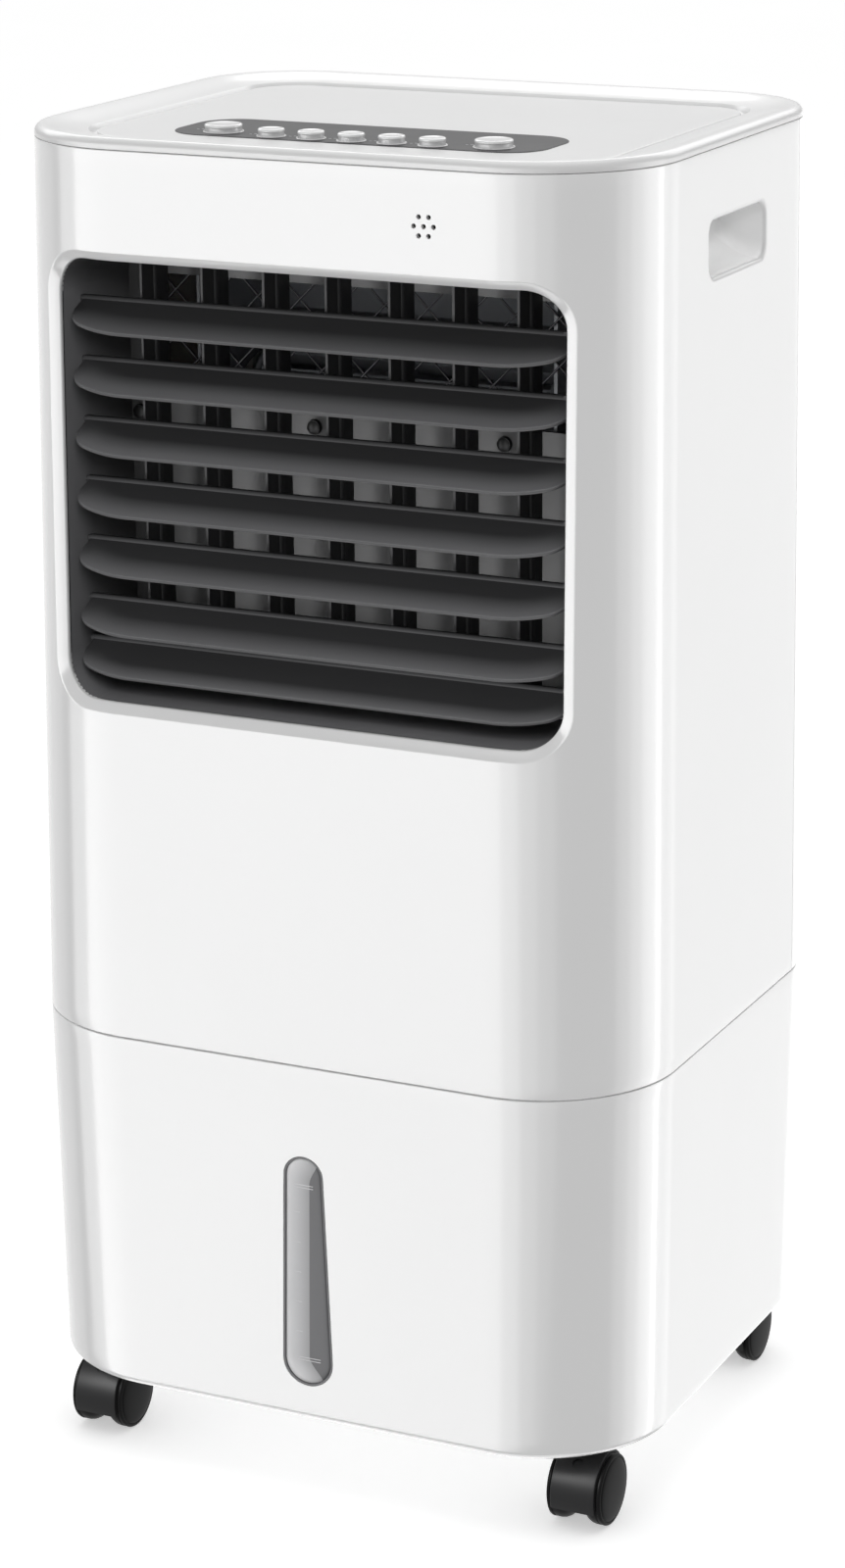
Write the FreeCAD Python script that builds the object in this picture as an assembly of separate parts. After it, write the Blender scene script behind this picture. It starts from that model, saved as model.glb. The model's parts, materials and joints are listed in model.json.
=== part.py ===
import FreeCAD, Part
import math
import os

# Domestic evaporative cooler on four swivel casters.
# Millimetres, +Z up, front towards -Y, origin on the floor under the middle of the casing.
# Each make_ function returns one node; the last section saves them all in parts/.

V = FreeCAD.Vector

# ---- driving dimensions -------------------------------------------------------------------
FLOOR_Z = 4.5              # layout height of the floor: save() lowers every part by it
BASE_Z = 56.0              # underside of the lower housing
SEAM_Z = 280.0             # joint between the lower housing and the upper casing
COVER_Z = 800.0            # joint between the casing and the top cover
TOP_Z = 807.0              # crest of the top cover's rim
PLAN = {BASE_Z: (393.5, 330.0), SEAM_Z: (399.0, 336.0), COVER_Z: (389.0, 325.0)}
FRONT_R = 82.0             # plan radius of the two front corners
REAR_R = 65.0              # plan radius of the two rear corners
WALL = 3.0
FLOOR_T = 4.0              # floor of the lower housing
SEAM_GAP = 0.8
SPLIT_Y = 105.0            # seam between front housing and rear cover

OPEN_X = 156.0             # air outlet, half width and height range at the inner edge
OPEN_Z = (483.0, 738.0)
OPEN_R = 22.0
BEVEL = 7.0                # width of the step around the outlet
BEVEL_DEPTH = 3.0
LINER_WALL = 2.5
CHAMBER_Y = -66.0          # rear end of the outlet liner
PIN_R = 2.0                # pivot pins of louvers and vanes
LINK_PIN_R = 1.5           # pins that carry the two link bars

LOUVER_PITCH = 35.1
LOUVER_TOP_Z = 695.3       # front edge of the highest louver
LOUVER_LAST_GAP = 24.9
LOUVER_COUNT = 7
LOUVER_FRONT_Y = -152.5
LOUVER_PIVOT_Y = -121.0
LOUVER_TILT = 23.0
LOUVER_T = 2.4
LOUVER_HALF = 154.3
LINK_X = 148.5             # louver link bar, beside the right end of the blades
LINK_ARM = 9.0             # from the louver pivot back to the link pin

VANE_COUNT = 7
VANE_PITCH = 39.2
VANE_SHIFT = -3.9          # the row of vanes stands off-centre, away from the swing motor
VANE_PIVOT_Y = -98.0
VANE_DEPTH = 31.0
VANE_T = 1.6
VANE_Z = (494.0, 732.0)
VANE_ARM = 12.0            # from the vane pivot back to the link pin
CRANK_X, CRANK_Y = 128.5, -84.0
CRANK_RADIUS = 6.2

WINDOW_Z = (642.0, 716.0)  # blower outlet

DECK_Z = 801.8
DECK_X, DECK_Y, DECK_R = 159.0, 126.0, 40.0
PANEL = (-115.0, 115.0, -99.0, -28.0, 24.0)
PANEL_T = 0.9
SMALL_BUTTONS_X = (-50.0, -25.0, 0.0, 25.0, 50.0)
SMALL_BUTTON_Y = -87.0
LARGE_BUTTON_X = 84.0
LARGE_BUTTON_Y = -80.0
SMALL_R, LARGE_R = 7.6, 10.8
BUTTON_TOP = 806.6
BUTTON_TRAVEL = 2.5
BOARD_Z = 782.0            # top of the control board
BUZZER_X, BUZZER_Z = 80.0, 770.0
BUZZER_PITCH = 5.9

HANDLE_Y = (-37.0, 50.0)
HANDLE_Z = (729.0, 761.0)
HANDLE_DEPTH = 30.0

LEVEL_Z = (79.0, 223.0)
LEVEL_LEFT = -12.5
LEVEL_RIGHT = (17.0, 12.0)

TANK_X = 128.0
TANK_Y = (-157.0, 158.0)
TANK_Z = (60.6, 250.0)
TANK_PANEL_TOP = 266.0
TANK_WALL = 2.5
MOUTH_GAP = 1.5            # between the tank and the mouth it slides through
GRIP = (48.0, 196.0, 236.0)
LATCH_Z = 291.0
LATCH_POCKET = 2.4

WHEEL_R = 21.5
WHEEL_Z = FLOOR_Z + WHEEL_R
TREAD_X = (3.8, 14.6)      # tread of one wheel, measured from the middle of the caster
DISC_X = (14.4, 17.0)      # rim disc outside the hood
CAP_X = 18.6               # outer face of the domed disc
AXLE_R = 3.0
CASTERS = {"front_left": (-159.5, -118.3), "front_right": (159.5, -118.3),
           "rear_left": (-156.5, 131.5), "rear_right": (156.5, 131.5)}
CASTER_TRAIL = 10.0
STEM_R = 4.0
BOSS_R = 9.0
HOOD_R, HOOD_HALF, HOOD_T = 23.4, 13.8, 1.4
HOOD_CUT_Z = WHEEL_Z - 10.8
WEB_HALF = 3.0
SOCKET_R = 7.0

SHELF_Z = 287.0            # underside of the plate between fan bay and tank bay
SHELF_T = 4.0
PUMP_X, PUMP_Y = -98.0, 118.0
HOSE_X, HOSE_Z = -168.0, 271.0
HOSE_R = 4.0
PAD = (-140.0, 140.0, 104.0, 138.0, 306.0, 704.0)
TRAY_Z = 712.0
FILTER_X, FILTER_Z = 124.0, (330.0, 716.0)
SCREWS_X, SCREWS_Z = 129.5, (345.0, 523.0, 701.0)
GLAND_X, GLAND_Z = 110.0, 306.0

BLOWER_Y, BLOWER_Z = 18.0, 610.0
WHEEL_OUTER_R = 62.0
EYE_R = 48.0               # air inlet on both sides of the scroll
BLOWER_HALF = 112.0
BLADE_COUNT = 28
FIT = 0.05                 # radial running clearance of a pin in its hole


# ---- helpers ------------------------------------------------------------------------------
def box(x0, x1, y0, y1, z0, z1):
    return Part.makeBox(x1 - x0, y1 - y0, z1 - z0, V(x0, y0, z0))


def cyl(radius, base, direction, length):
    return Part.makeCylinder(radius, length, V(*base), V(*direction))


def join(*shapes):
    return shapes[0].multiFuse(list(shapes[1:])).removeSplitter()


def rounded_box(x0, x1, y0, y1, z0, z1, radius, axis):
    """Box whose four edges along one axis (0, 1 or 2) are rounded."""
    block = box(x0, x1, y0, y1, z0, z1)
    edges = []
    for edge in block.Edges:
        span = edge.Vertexes[0].Point - edge.Vertexes[-1].Point
        if abs(span[axis]) > 0.01:
            edges.append(edge)
    return block.makeFillet(radius, edges)


def fillet_where(shape, radius, test):
    """Round the edges whose bounding box passes the test; keep the shape if OCC can't."""
    edges = [edge for edge in shape.Edges if test(edge.BoundBox)]
    try:
        result = shape.makeFillet(radius, edges)
    except Exception:
        return shape
    return result if result.isValid() else shape


def plan_size(z):
    low, high = (BASE_Z, SEAM_Z) if z < SEAM_Z else (SEAM_Z, COVER_Z)
    t = (z - low) / (high - low)
    return tuple(a + (b - a) * t for a, b in zip(PLAN[low], PLAN[high]))


def plan_wire(z, inset):
    """Casing outline at one height, moved inwards by the inset."""
    width, depth = plan_size(z)
    x, y = width / 2 - inset, depth / 2 - inset
    front, rear = FRONT_R - inset, REAR_R - inset
    s = math.sqrt(0.5)
    corners = [(-x + front, -y + front, front, -1, -1), (x - front, -y + front, front, 1, -1),
               (x - rear, y - rear, rear, 1, 1), (-x + rear, y - rear, rear, -1, 1)]
    arcs = []
    for index, (cx, cy, r, sx, sy) in enumerate(corners):
        along_x = V(cx, cy + sy * r, z)
        along_y = V(cx + sx * r, cy, z)
        middle = V(cx + sx * r * s, cy + sy * r * s, z)
        first, last = (along_y, along_x) if index % 2 == 0 else (along_x, along_y)
        arcs.append((first, middle, last))
    edges = []
    for index, (first, middle, last) in enumerate(arcs):
        edges.append(Part.Arc(first, middle, last).toShape())
        edges.append(Part.LineSegment(last, arcs[(index + 1) % 4][0]).toShape())
    return Part.Wire(edges)


def casing_block(z0, z1, inset):
    """Solid casing between two heights that lie on one side of the seam."""
    return Part.makeLoft([plan_wire(z0, inset), plan_wire(z1, inset)], True, True)


def save(name, shape):
    """Export one part, lowered from its layout height so that the wheels touch z = 0."""
    placed = shape.copy()
    placed.translate(V(0, 0, -FLOOR_Z))
    placed.exportStep("parts/%s.step" % name)


# ---- casing -------------------------------------------------------------------------------
def seam_tongue(z0, z1):
    """Locating lip that stands inside a casing joint."""
    outer = Part.Face(plan_wire(SEAM_Z, WALL + 0.3 + 1.0)).extrude(V(0, 0, z1 - z0))
    inner = Part.Face(plan_wire(SEAM_Z, WALL + 3.3)).extrude(V(0, 0, z1 - z0))
    ring = outer.cut(inner)
    ring.translate(V(0, 0, z0 - SEAM_Z))
    return ring


def caster_swivel(name):
    """Centre of the swivel stem: the wheels trail it towards the outside."""
    x, y = CASTERS[name]
    return x, y + (CASTER_TRAIL if y < 0 else -CASTER_TRAIL)


def level_outline(inset, y):
    """Water level window: left side upright, right side leaning, both ends round."""
    low, high = LEVEL_Z[0] + inset, LEVEL_Z[1] - inset
    left = LEVEL_LEFT + inset
    right_low, right_high = LEVEL_RIGHT[0] - inset, LEVEL_RIGHT[1] - inset
    r_low, r_high = (right_low - left) / 2, (right_high - left) / 2
    a, b = V(left, y, low + r_low), V(left, y, high - r_high)
    c, d = V(right_high, y, high - r_high), V(right_low, y, low + r_low)
    top = Part.Arc(b, V(left + r_high, y, high), c).toShape()
    bottom = Part.Arc(d, V(left + r_low, y, low), a).toShape()
    sides = [Part.LineSegment(a, b).toShape(), Part.LineSegment(c, d).toShape()]
    return Part.Face(Part.Wire([sides[0], top, sides[1], bottom]))


def make_lower_housing():
    outer = casing_block(BASE_Z, SEAM_Z, 0)
    outer = fillet_where(outer, 4.0, lambda b: b.ZMax < BASE_Z + 0.1)
    shell = outer.cut(casing_block(BASE_Z + FLOOR_T, SEAM_Z, WALL))
    shell = shell.fuse(seam_tongue(SEAM_Z - 12, SEAM_Z + 6))
    lug = casing_block(SEAM_Z - 12, SEAM_Z, WALL).cut(casing_block(SEAM_Z - 12, SEAM_Z, WALL + 3.3))
    shell = shell.fuse(lug)
    level_cut = level_outline(0, -175).extrude(V(0, 20, 0))
    mouth_x = TANK_X + MOUTH_GAP
    mouth = rounded_box(-mouth_x, mouth_x, 140, 180, BASE_Z + FLOOR_T + 0.2, TANK_PANEL_TOP + MOUTH_GAP, 5, 1)
    notch = box(-40, 40, 150, 172, TANK_PANEL_TOP - 2, SEAM_Z + 8)
    shell = shell.cut(level_cut)
    shell = shell.cut(mouth)
    shell = shell.cut(notch)
    for name in CASTERS:
        x, y = caster_swivel(name)
        shell = shell.fuse(cyl(11, (x, y, BASE_Z), (0, 0, 1), 22))
        shell = shell.cut(cyl(SOCKET_R, (x, y, BASE_Z - 1), (0, 0, 1), 21))
    for side in (-1, 1):
        rail = box(side * 134 - 2, side * 134 + 2, -140, 150, BASE_Z + 2, BASE_Z + 16)
        shell = shell.fuse(rail)
    return shell.removeSplitter()


def make_level_window():
    front_y = -plan_size(LEVEL_Z[0])[1] / 2
    slab = level_outline(0.15, front_y - 5).extrude(V(0, 5 + 7, 0))
    return slab.common(casing_block(BASE_Z, SEAM_Z, 0.6))


def handle_cavity(side):
    """Finger recess in a side wall, its floor rising towards the inside."""
    outer_x = plan_size(HANDLE_Z[0])[0] / 2 + 5
    inner_x = outer_x - 5 - HANDLE_DEPTH
    points = [(outer_x, HANDLE_Z[0]), (outer_x, HANDLE_Z[1]), (inner_x, HANDLE_Z[1]),
              (inner_x, HANDLE_Z[0] + 12), (inner_x + 14, HANDLE_Z[0])]
    wire = Part.makePolygon([V(side * x, HANDLE_Y[0], z) for x, z in points + points[:1]])
    cavity = Part.Face(wire).extrude(V(0, HANDLE_Y[1] - HANDLE_Y[0], 0))
    rounding = rounded_box(-outer_x, outer_x, HANDLE_Y[0], HANDLE_Y[1], HANDLE_Z[0], HANDLE_Z[1], 8, 0)
    return cavity.common(rounding)


def handle_cup(side):
    inner = plan_size(HANDLE_Z[0])[0] / 2 - WALL + 0.5
    block = box(inner - HANDLE_DEPTH, inner, HANDLE_Y[0] - 2.5, HANDLE_Y[1] + 2.5,
                HANDLE_Z[0] - 2.5, HANDLE_Z[1] + 2.5)
    if side < 0:
        block = block.mirror(V(0, 0, 0), V(1, 0, 0))
    return block


def buzzer_holes():
    """Seven small holes in a two-three-two pattern."""
    centres = [(0.0, 0.0)]
    for k in range(6):
        angle = math.radians(60 * k)
        centres.append((BUZZER_PITCH * math.cos(angle), BUZZER_PITCH * math.sin(angle)))
    return [cyl(1.4, (BUZZER_X + x, -180, BUZZER_Z + z), (0, 1, 0), 30) for x, z in centres]


def outlet_prism(grow, y0, y1):
    return rounded_box(-OPEN_X - grow, OPEN_X + grow, y0, y1, OPEN_Z[0] - grow * 0.8,
                       OPEN_Z[1] + grow * 0.8, OPEN_R + grow * 0.7, 1)


def make_front_housing():
    z0 = SEAM_Z + SEAM_GAP
    shell = casing_block(z0, COVER_Z, 0).cut(casing_block(z0, COVER_Z, WALL))
    collar = casing_block(z0, COVER_Z, WALL - 0.5).cut(casing_block(z0, COVER_Z, WALL + 4))
    collar = collar.common(outlet_prism(16, -220, -90))
    shell = shell.fuse(collar)
    rim = outlet_prism(BEVEL, -220, -100).cut(casing_block(z0, COVER_Z, BEVEL_DEPTH))
    shell = shell.cut(rim).cut(outlet_prism(0, -220, -60))
    for side in (-1, 1):
        shell = shell.fuse(handle_cup(side)).cut(handle_cavity(side))
    shell = shell.cut(Part.makeCompound(buzzer_holes()))
    shell = shell.cut(box(-250, 250, SPLIT_Y, 250, 0, 900))
    return shell.removeSplitter()


def make_rear_cover():
    z0 = SEAM_Z + SEAM_GAP
    shell = casing_block(z0, COVER_Z, 0).cut(casing_block(z0, COVER_Z, WALL))
    shell = shell.cut(box(-250, 250, -250, SPLIT_Y + 0.5, 0, 900))
    side_lip = casing_block(z0, COVER_Z, WALL + 0.2).cut(casing_block(z0, COVER_Z, WALL + 2.2))
    side_lip = side_lip.common(box(-250, 250, SPLIT_Y - 12, SPLIT_Y + 10, z0 + 12, COVER_Z - 8))
    joiner = casing_block(z0, COVER_Z, WALL - 0.5).cut(casing_block(z0, COVER_Z, WALL + 2.2))
    joiner = joiner.common(box(-250, 250, SPLIT_Y + 0.5, SPLIT_Y + 10, z0 + 12, COVER_Z - 8))
    shell = shell.fuse(side_lip).fuse(joiner)
    x, z = FILTER_X, FILTER_Z
    collar = casing_block(z0, COVER_Z, WALL - 0.5).common(box(-x - 4, x + 4, 152, 200, z[0] - 4, z[1] + 4))
    shell = shell.fuse(collar)
    shell = shell.cut(rounded_box(-x, x, 100, 200, z[0], z[1], 6, 1))
    shell = shell.cut(cyl(5.0, (GLAND_X, 100, GLAND_Z), (0, 1, 0), 100))
    pocket_y = rear_y(LATCH_Z) - LATCH_POCKET
    backing = box(-16, 40, pocket_y - WALL, pocket_y + 1, z0, LATCH_Z + 14)
    shell = shell.fuse(backing.common(casing_block(z0, COVER_Z, 0)))
    shell = shell.cut(rounded_box(-12, 36, pocket_y, 200, z0 - 12, LATCH_Z + 10, 5, 1))
    shell = shell.cut(cyl(3.0, (0, 120, LATCH_Z), (0, 1, 0), 60))
    for sx, sz in screw_places():
        shell = shell.cut(cyl(1.6, (sx, 120, sz), (0, 1, 0), 60))
        shell = shell.cut(cyl(4.0, (sx, rear_y(sz) - 1.6, sz), (0, 1, 0), 10))
    return shell.removeSplitter()


def rear_y(z):
    return plan_size(z)[1] / 2


def screw_places():
    return [(sx, sz) for sx in (-SCREWS_X, SCREWS_X) for sz in SCREWS_Z]


def make_rear_screws():
    heads = []
    for sx, sz in screw_places():
        face = rear_y(sz) - 1.6
        head = cyl(3.6, (sx, face, sz), (0, 1, 0), 1.3)
        head = head.fuse(cyl(1.5, (sx, face - 9, sz), (0, 1, 0), 9))
        for turn in (0, 90):
            slot = box(-2.2, 2.2, face + 0.6, face + 2, -0.4, 0.4)
            slot.rotate(V(0, 0, 0), V(0, 1, 0), turn)
            slot.translate(V(sx, 0, sz))
            head = head.cut(slot)
        heads.append(head)
    return Part.makeCompound(heads)


def make_top_cover():
    block = Part.Face(plan_wire(COVER_Z, 0)).extrude(V(0, 0, TOP_Z - COVER_Z - SEAM_GAP))
    block.translate(V(0, 0, SEAM_GAP))
    block = fillet_where(block, 4.5, lambda b: b.ZMin > TOP_Z - 0.1)
    plug = Part.Face(plan_wire(COVER_Z, WALL + 0.3)).extrude(V(0, 0, -5))
    plug.translate(V(0, 0, SEAM_GAP))
    cover = block.fuse(plug)
    crest = Part.Face(plan_wire(COVER_Z, 6)).Wires[0].copy()
    crest.translate(V(0, 0, TOP_Z - COVER_Z))
    trough = rounded_plan(DECK_X + 3, DECK_Y + 3, DECK_R + 3, DECK_Z + 0.6)
    dish = Part.makeLoft([crest, trough], True, True)
    groove = Part.Face(rounded_plan(DECK_X + 3, DECK_Y + 3, DECK_R + 3, DECK_Z - 1.4)).extrude(V(0, 0, 8))
    deck = Part.Face(rounded_plan(DECK_X, DECK_Y, DECK_R, DECK_Z - 3)).extrude(V(0, 0, 3))
    cover = cover.cut(dish).cut(groove).fuse(deck)
    cover = fillet_where(cover, 0.8, lambda b: b.ZMin > DECK_Z - 0.05 and b.ZMax < DECK_Z + 0.05)
    x0, x1, y0, y1, r = PANEL
    cover = cover.cut(rounded_box(x0, x1, y0, y1, DECK_Z - PANEL_T, DECK_Z + 5, r, 2))
    for x, y, radius in buttons():
        cover = cover.cut(cyl(radius - 1.5, (x, y, 780), (0, 0, 1), 40))
    cover = cover.cut(box(-150, 150, -118, 118, 700, DECK_Z - 3.2))
    return cover.removeSplitter()


def rounded_plan(x, y, r, z):
    s = r * (1 - math.sqrt(0.5))
    points = [(-x + r, -y), (x - r, -y), (x - s, -y + s), (x, -y + r), (x, y - r), (x - s, y - s),
              (x - r, y), (-x + r, y), (-x + s, y - s), (-x, y - r), (-x, -y + r), (-x + s, -y + s)]
    p = [V(px, py, z) for px, py in points]
    edges = []
    for k in range(0, 12, 3):
        edges.append(Part.LineSegment(p[k], p[k + 1]).toShape())
        edges.append(Part.Arc(p[k + 1], p[k + 2], p[(k + 3) % 12]).toShape())
    return Part.Wire(edges)


# ---- controls -----------------------------------------------------------------------------
def buttons():
    """Centre and cap radius of each button, left to right."""
    rows = [(-LARGE_BUTTON_X, LARGE_BUTTON_Y, LARGE_R)]
    rows += [(x, SMALL_BUTTON_Y, SMALL_R) for x in SMALL_BUTTONS_X]
    rows += [(LARGE_BUTTON_X, LARGE_BUTTON_Y, LARGE_R)]
    return rows


def make_control_panel():
    x0, x1, y0, y1, r = PANEL
    sheet = rounded_box(x0 + 0.2, x1 - 0.2, y0 + 0.2, y1 - 0.2, DECK_Z - PANEL_T, DECK_Z + 0.1, r, 2)
    for x, y, radius in buttons():
        sheet = sheet.cut(cyl(radius + 1.0, (x, y, 790), (0, 0, 1), 20))
    return sheet


def make_button_ring(x, y, radius):
    base = DECK_Z - PANEL_T
    ring = cyl(radius + 1.0, (x, y, base), (0, 0, 1), PANEL_T + 0.7)
    return ring.cut(cyl(radius - 1.2, (x, y, base - 1), (0, 0, 1), 6))


def make_button(x, y, radius):
    """Cap above the ring, stem down to the switch."""
    skirt = DECK_Z + 0.7 + BUTTON_TRAVEL + 0.15
    cap = cyl(radius, (x, y, skirt), (0, 0, 1), BUTTON_TOP - skirt)
    cap = fillet_where(cap, 0.7, lambda b: b.ZMin > BUTTON_TOP - 0.1)
    stem = cyl(radius - 1.8, (x, y, BOARD_Z + 6), (0, 0, 1), skirt - BOARD_Z - 5.5)
    return cap.fuse(stem).removeSplitter()


def make_control_board():
    board = box(-105, 105, -104, -62, BOARD_Z - 1.6, BOARD_Z)
    parts = [board]
    for x, y, _ in buttons():
        parts.append(box(x - 3, x + 3, y - 3, y + 3, BOARD_Z - 0.1, BOARD_Z + 3.2))
    parts.append(box(60, 100, -74, -63, BOARD_Z - 12, BOARD_Z - 1.5))
    for x in (-100, 100):
        parts.append(cyl(3, (x, -100, BOARD_Z - 0.1), (0, 0, 1), DECK_Z - 3.2 - BOARD_Z + 0.1))
        parts.append(cyl(3, (x, -66, BOARD_Z - 0.1), (0, 0, 1), DECK_Z - 3.2 - BOARD_Z + 0.1))
    return join(*parts)


def make_buzzer():
    y = -plan_size(BUZZER_Z)[1] / 2 + WALL
    cup = cyl(9.5, (BUZZER_X, y + 0.2, BUZZER_Z), (0, 1, 0), 9)
    return cup.cut(cyl(8.3, (BUZZER_X, y - 1, BUZZER_Z), (0, 1, 0), 3))


# ---- air outlet ---------------------------------------------------------------------------
def louver_edges():
    """Front edge heights from the top louver to the bottom one."""
    heights = [LOUVER_TOP_Z - LOUVER_PITCH * k for k in range(LOUVER_COUNT - 1)]
    return heights + [heights[-1] - LOUVER_LAST_GAP]


def louver_pivot_z(front_z):
    return front_z + (LOUVER_PIVOT_Y - LOUVER_FRONT_Y) * math.tan(math.radians(LOUVER_TILT))


def vane_x(index):
    return (index - (VANE_COUNT - 1) / 2) * VANE_PITCH + VANE_SHIFT


def make_grille_frame():
    z0 = SEAM_Z + SEAM_GAP
    skin = casing_block(z0, COVER_Z, WALL + 4.2)
    body = outlet_prism(LINER_WALL, -220, CHAMBER_Y)
    body = body.fuse(outlet_prism(12, -220, -110).cut(casing_block(z0, COVER_Z, WALL + 6.5)))
    body = body.common(skin)
    body = body.cut(outlet_prism(0, -221, CHAMBER_Y + 1))
    ears = []
    for front_z in louver_edges():
        z = louver_pivot_z(front_z)
        for side in (-1, 1):
            ears.append(cyl(4.2, (side * (OPEN_X + 0.2), LOUVER_PIVOT_Y, z), (side, 0, 0), LINER_WALL + 2))
    for index in range(VANE_COUNT):
        ears.append(cyl(4.0, (vane_x(index), VANE_PIVOT_Y, OPEN_Z[0] - 5), (0, 0, 1), 5.2))
        ears.append(cyl(4.0, (vane_x(index), VANE_PIVOT_Y, OPEN_Z[1] - 0.2), (0, 0, 1), 5.2))
    body = body.multiFuse(ears)
    holes = []
    for front_z in louver_edges():
        z = louver_pivot_z(front_z)
        holes.append(cyl(PIN_R + FIT, (-OPEN_X - 3.5, LOUVER_PIVOT_Y, z), (1, 0, 0), 2 * OPEN_X + 7))
    for index in range(VANE_COUNT):
        holes.append(cyl(PIN_R + FIT, (vane_x(index), VANE_PIVOT_Y, OPEN_Z[0] - 4), (0, 0, 1), 263))
    holes.append(cyl(3.0, (CRANK_X, CRANK_Y, 470), (0, 0, 1), 14))
    return body.cut(Part.makeCompound(holes)).removeSplitter()


def make_louver(front_z):
    """Flat blade in its own plane, then tilted about its pivot line at the rear edge."""
    pivot_z = louver_pivot_z(front_z)
    reach = (LOUVER_PIVOT_Y - LOUVER_FRONT_Y) / math.cos(math.radians(LOUVER_TILT))
    half = LOUVER_HALF
    side_y = -reach + 22.0
    shoulder_x, shoulder_y = half - 11.0, -reach + 6.2
    flat_x = half - 42.0

    def outline(sign):
        return [V(sign * half, 1.5, 0), V(sign * half, side_y, 0),
                V(sign * (half - 3.2), side_y - 9.5, 0), V(sign * shoulder_x, shoulder_y, 0),
                V(sign * (half - 25.5), -reach + 1.5, 0), V(sign * flat_x, -reach, 0)]

    right, left = outline(1), outline(-1)
    edges = [Part.LineSegment(right[0], right[1]).toShape(),
             Part.Arc(right[1], right[2], right[3]).toShape(),
             Part.Arc(right[3], right[4], right[5]).toShape(),
             Part.LineSegment(right[5], left[5]).toShape(),
             Part.Arc(left[5], left[4], left[3]).toShape(),
             Part.Arc(left[3], left[2], left[1]).toShape(),
             Part.LineSegment(left[1], left[0]).toShape(),
             Part.LineSegment(left[0], right[0]).toShape()]
    blade = Part.Face(Part.Wire(edges)).extrude(V(0, 0, LOUVER_T))
    blade.translate(V(0, 0, -LOUVER_T / 2))
    blade = fillet_where(blade, 0.9, lambda b: b.ZLength < 0.01 and b.YMin < -5)
    spine = cyl(2.6, (-half, 0, 0), (1, 0, 0), 2 * half)
    pins = [cyl(PIN_R, (side * (half - 1), 0, 0), (side, 0, 0), 4.5) for side in (1, -1)]
    shape = join(blade, spine, *pins)
    shape.rotate(V(0, 0, 0), V(1, 0, 0), LOUVER_TILT)
    tab = box(LINK_X - 3.6, LINK_X - 1.6, -2.5, LINK_ARM + 2.5, -2.5, 2.5)
    link_pin = cyl(LINK_PIN_R, (LINK_X - 2, LINK_ARM, 0), (1, 0, 0), 4.6)
    shape = join(shape, tab, link_pin)
    shape.translate(V(0, LOUVER_PIVOT_Y, pivot_z))
    return shape


def make_louver_link():
    heights = [louver_pivot_z(z) for z in louver_edges()]
    y = LOUVER_PIVOT_Y + LINK_ARM
    bar = rounded_box(LINK_X - 0.8, LINK_X + 1.0, y - 3, y + 3, heights[-1] - 5, heights[0] + 5, 2.9, 0)
    holes = [cyl(LINK_PIN_R + FIT, (LINK_X - 4, y, z), (1, 0, 0), 8) for z in heights]
    return bar.cut(Part.makeCompound(holes))


def make_vane(index):
    """Upright swing vane with bosses at both ends and a link pin at the bottom rear."""
    x = vane_x(index)
    y0, y1 = VANE_PIVOT_Y - VANE_DEPTH / 2, VANE_PIVOT_Y + VANE_DEPTH / 2
    z0, z1 = VANE_Z
    blade = box(x - VANE_T / 2, x + VANE_T / 2, y0, y1, z0, z1)
    spine = cyl(2.4, (x, VANE_PIVOT_Y, z0), (0, 0, 1), z1 - z0)
    top_pin = cyl(PIN_R, (x, VANE_PIVOT_Y, z1 - 1), (0, 0, 1), OPEN_Z[1] - z1 + 3.5)
    low_pin = cyl(PIN_R, (x, VANE_PIVOT_Y, OPEN_Z[0] - 2.5), (0, 0, 1), z0 - OPEN_Z[0] + 3.5)
    link_pin = cyl(LINK_PIN_R, (x, VANE_PIVOT_Y + VANE_ARM, z0 - 6.6), (0, 0, 1), 8.5)
    foot = box(x - 2.2, x + 2.2, VANE_PIVOT_Y + VANE_ARM - 2.5, VANE_PIVOT_Y + VANE_ARM + 2.5, z0, z0 + 2.5)
    return join(blade, spine, top_pin, low_pin, link_pin, foot)


def make_vane_link():
    y = VANE_PIVOT_Y + VANE_ARM
    start, reach = vane_x(0), vane_x(VANE_COUNT - 1)
    z = VANE_Z[0] - 6.6
    bar = rounded_box(start - 5, reach + 5, y - 3, y + 3, z, z + 4.4, 2.9, 2)
    arm = box(reach + 4, CRANK_X + 10, y - 2, y + 5, z + 2.2, z + 4.4)
    bar = bar.fuse(arm)
    holes = [cyl(LINK_PIN_R + FIT, (vane_x(k), y, z - 1), (0, 0, 1), 8) for k in range(VANE_COUNT)]
    return bar.cut(Part.makeCompound(holes)).removeSplitter()


def make_swing_motor():
    body = cyl(21, (CRANK_X, CRANK_Y, 458), (0, 0, 1), 18)
    flange = box(CRANK_X - 28, CRANK_X + 28, CRANK_Y - 5, CRANK_Y + 5, 474.5, 476)
    return join(body, flange)


def make_swing_crank():
    shaft = cyl(2.4, (CRANK_X, CRANK_Y, 476.1), (0, 0, 1), 8)
    disc = cyl(8.0, (CRANK_X, CRANK_Y, 483.6), (0, 0, 1), 1.9)
    pin = cyl(1.3, (CRANK_X + CRANK_RADIUS, CRANK_Y, 485.3), (0, 0, 1), 1.7)
    return join(shaft, disc, pin)


def make_outlet_plate():
    """Plate that closes the liner behind the vanes and leaves the blower outlet open."""
    plate = outlet_prism(LINER_WALL, CHAMBER_Y + 0.2, CHAMBER_Y + 2.4)
    plate = plate.cut(box(-BLOWER_HALF - 30, BLOWER_HALF + 30, -100, 0, WINDOW_Z[0], WINDOW_Z[1]))
    studs = [cyl(4.2, (x, CHAMBER_Y - 2.4, 633.0), (0, 1, 0), 4) for x in (-150.5, -36.0, 84.0)]
    return join(plate, *studs)


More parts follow.
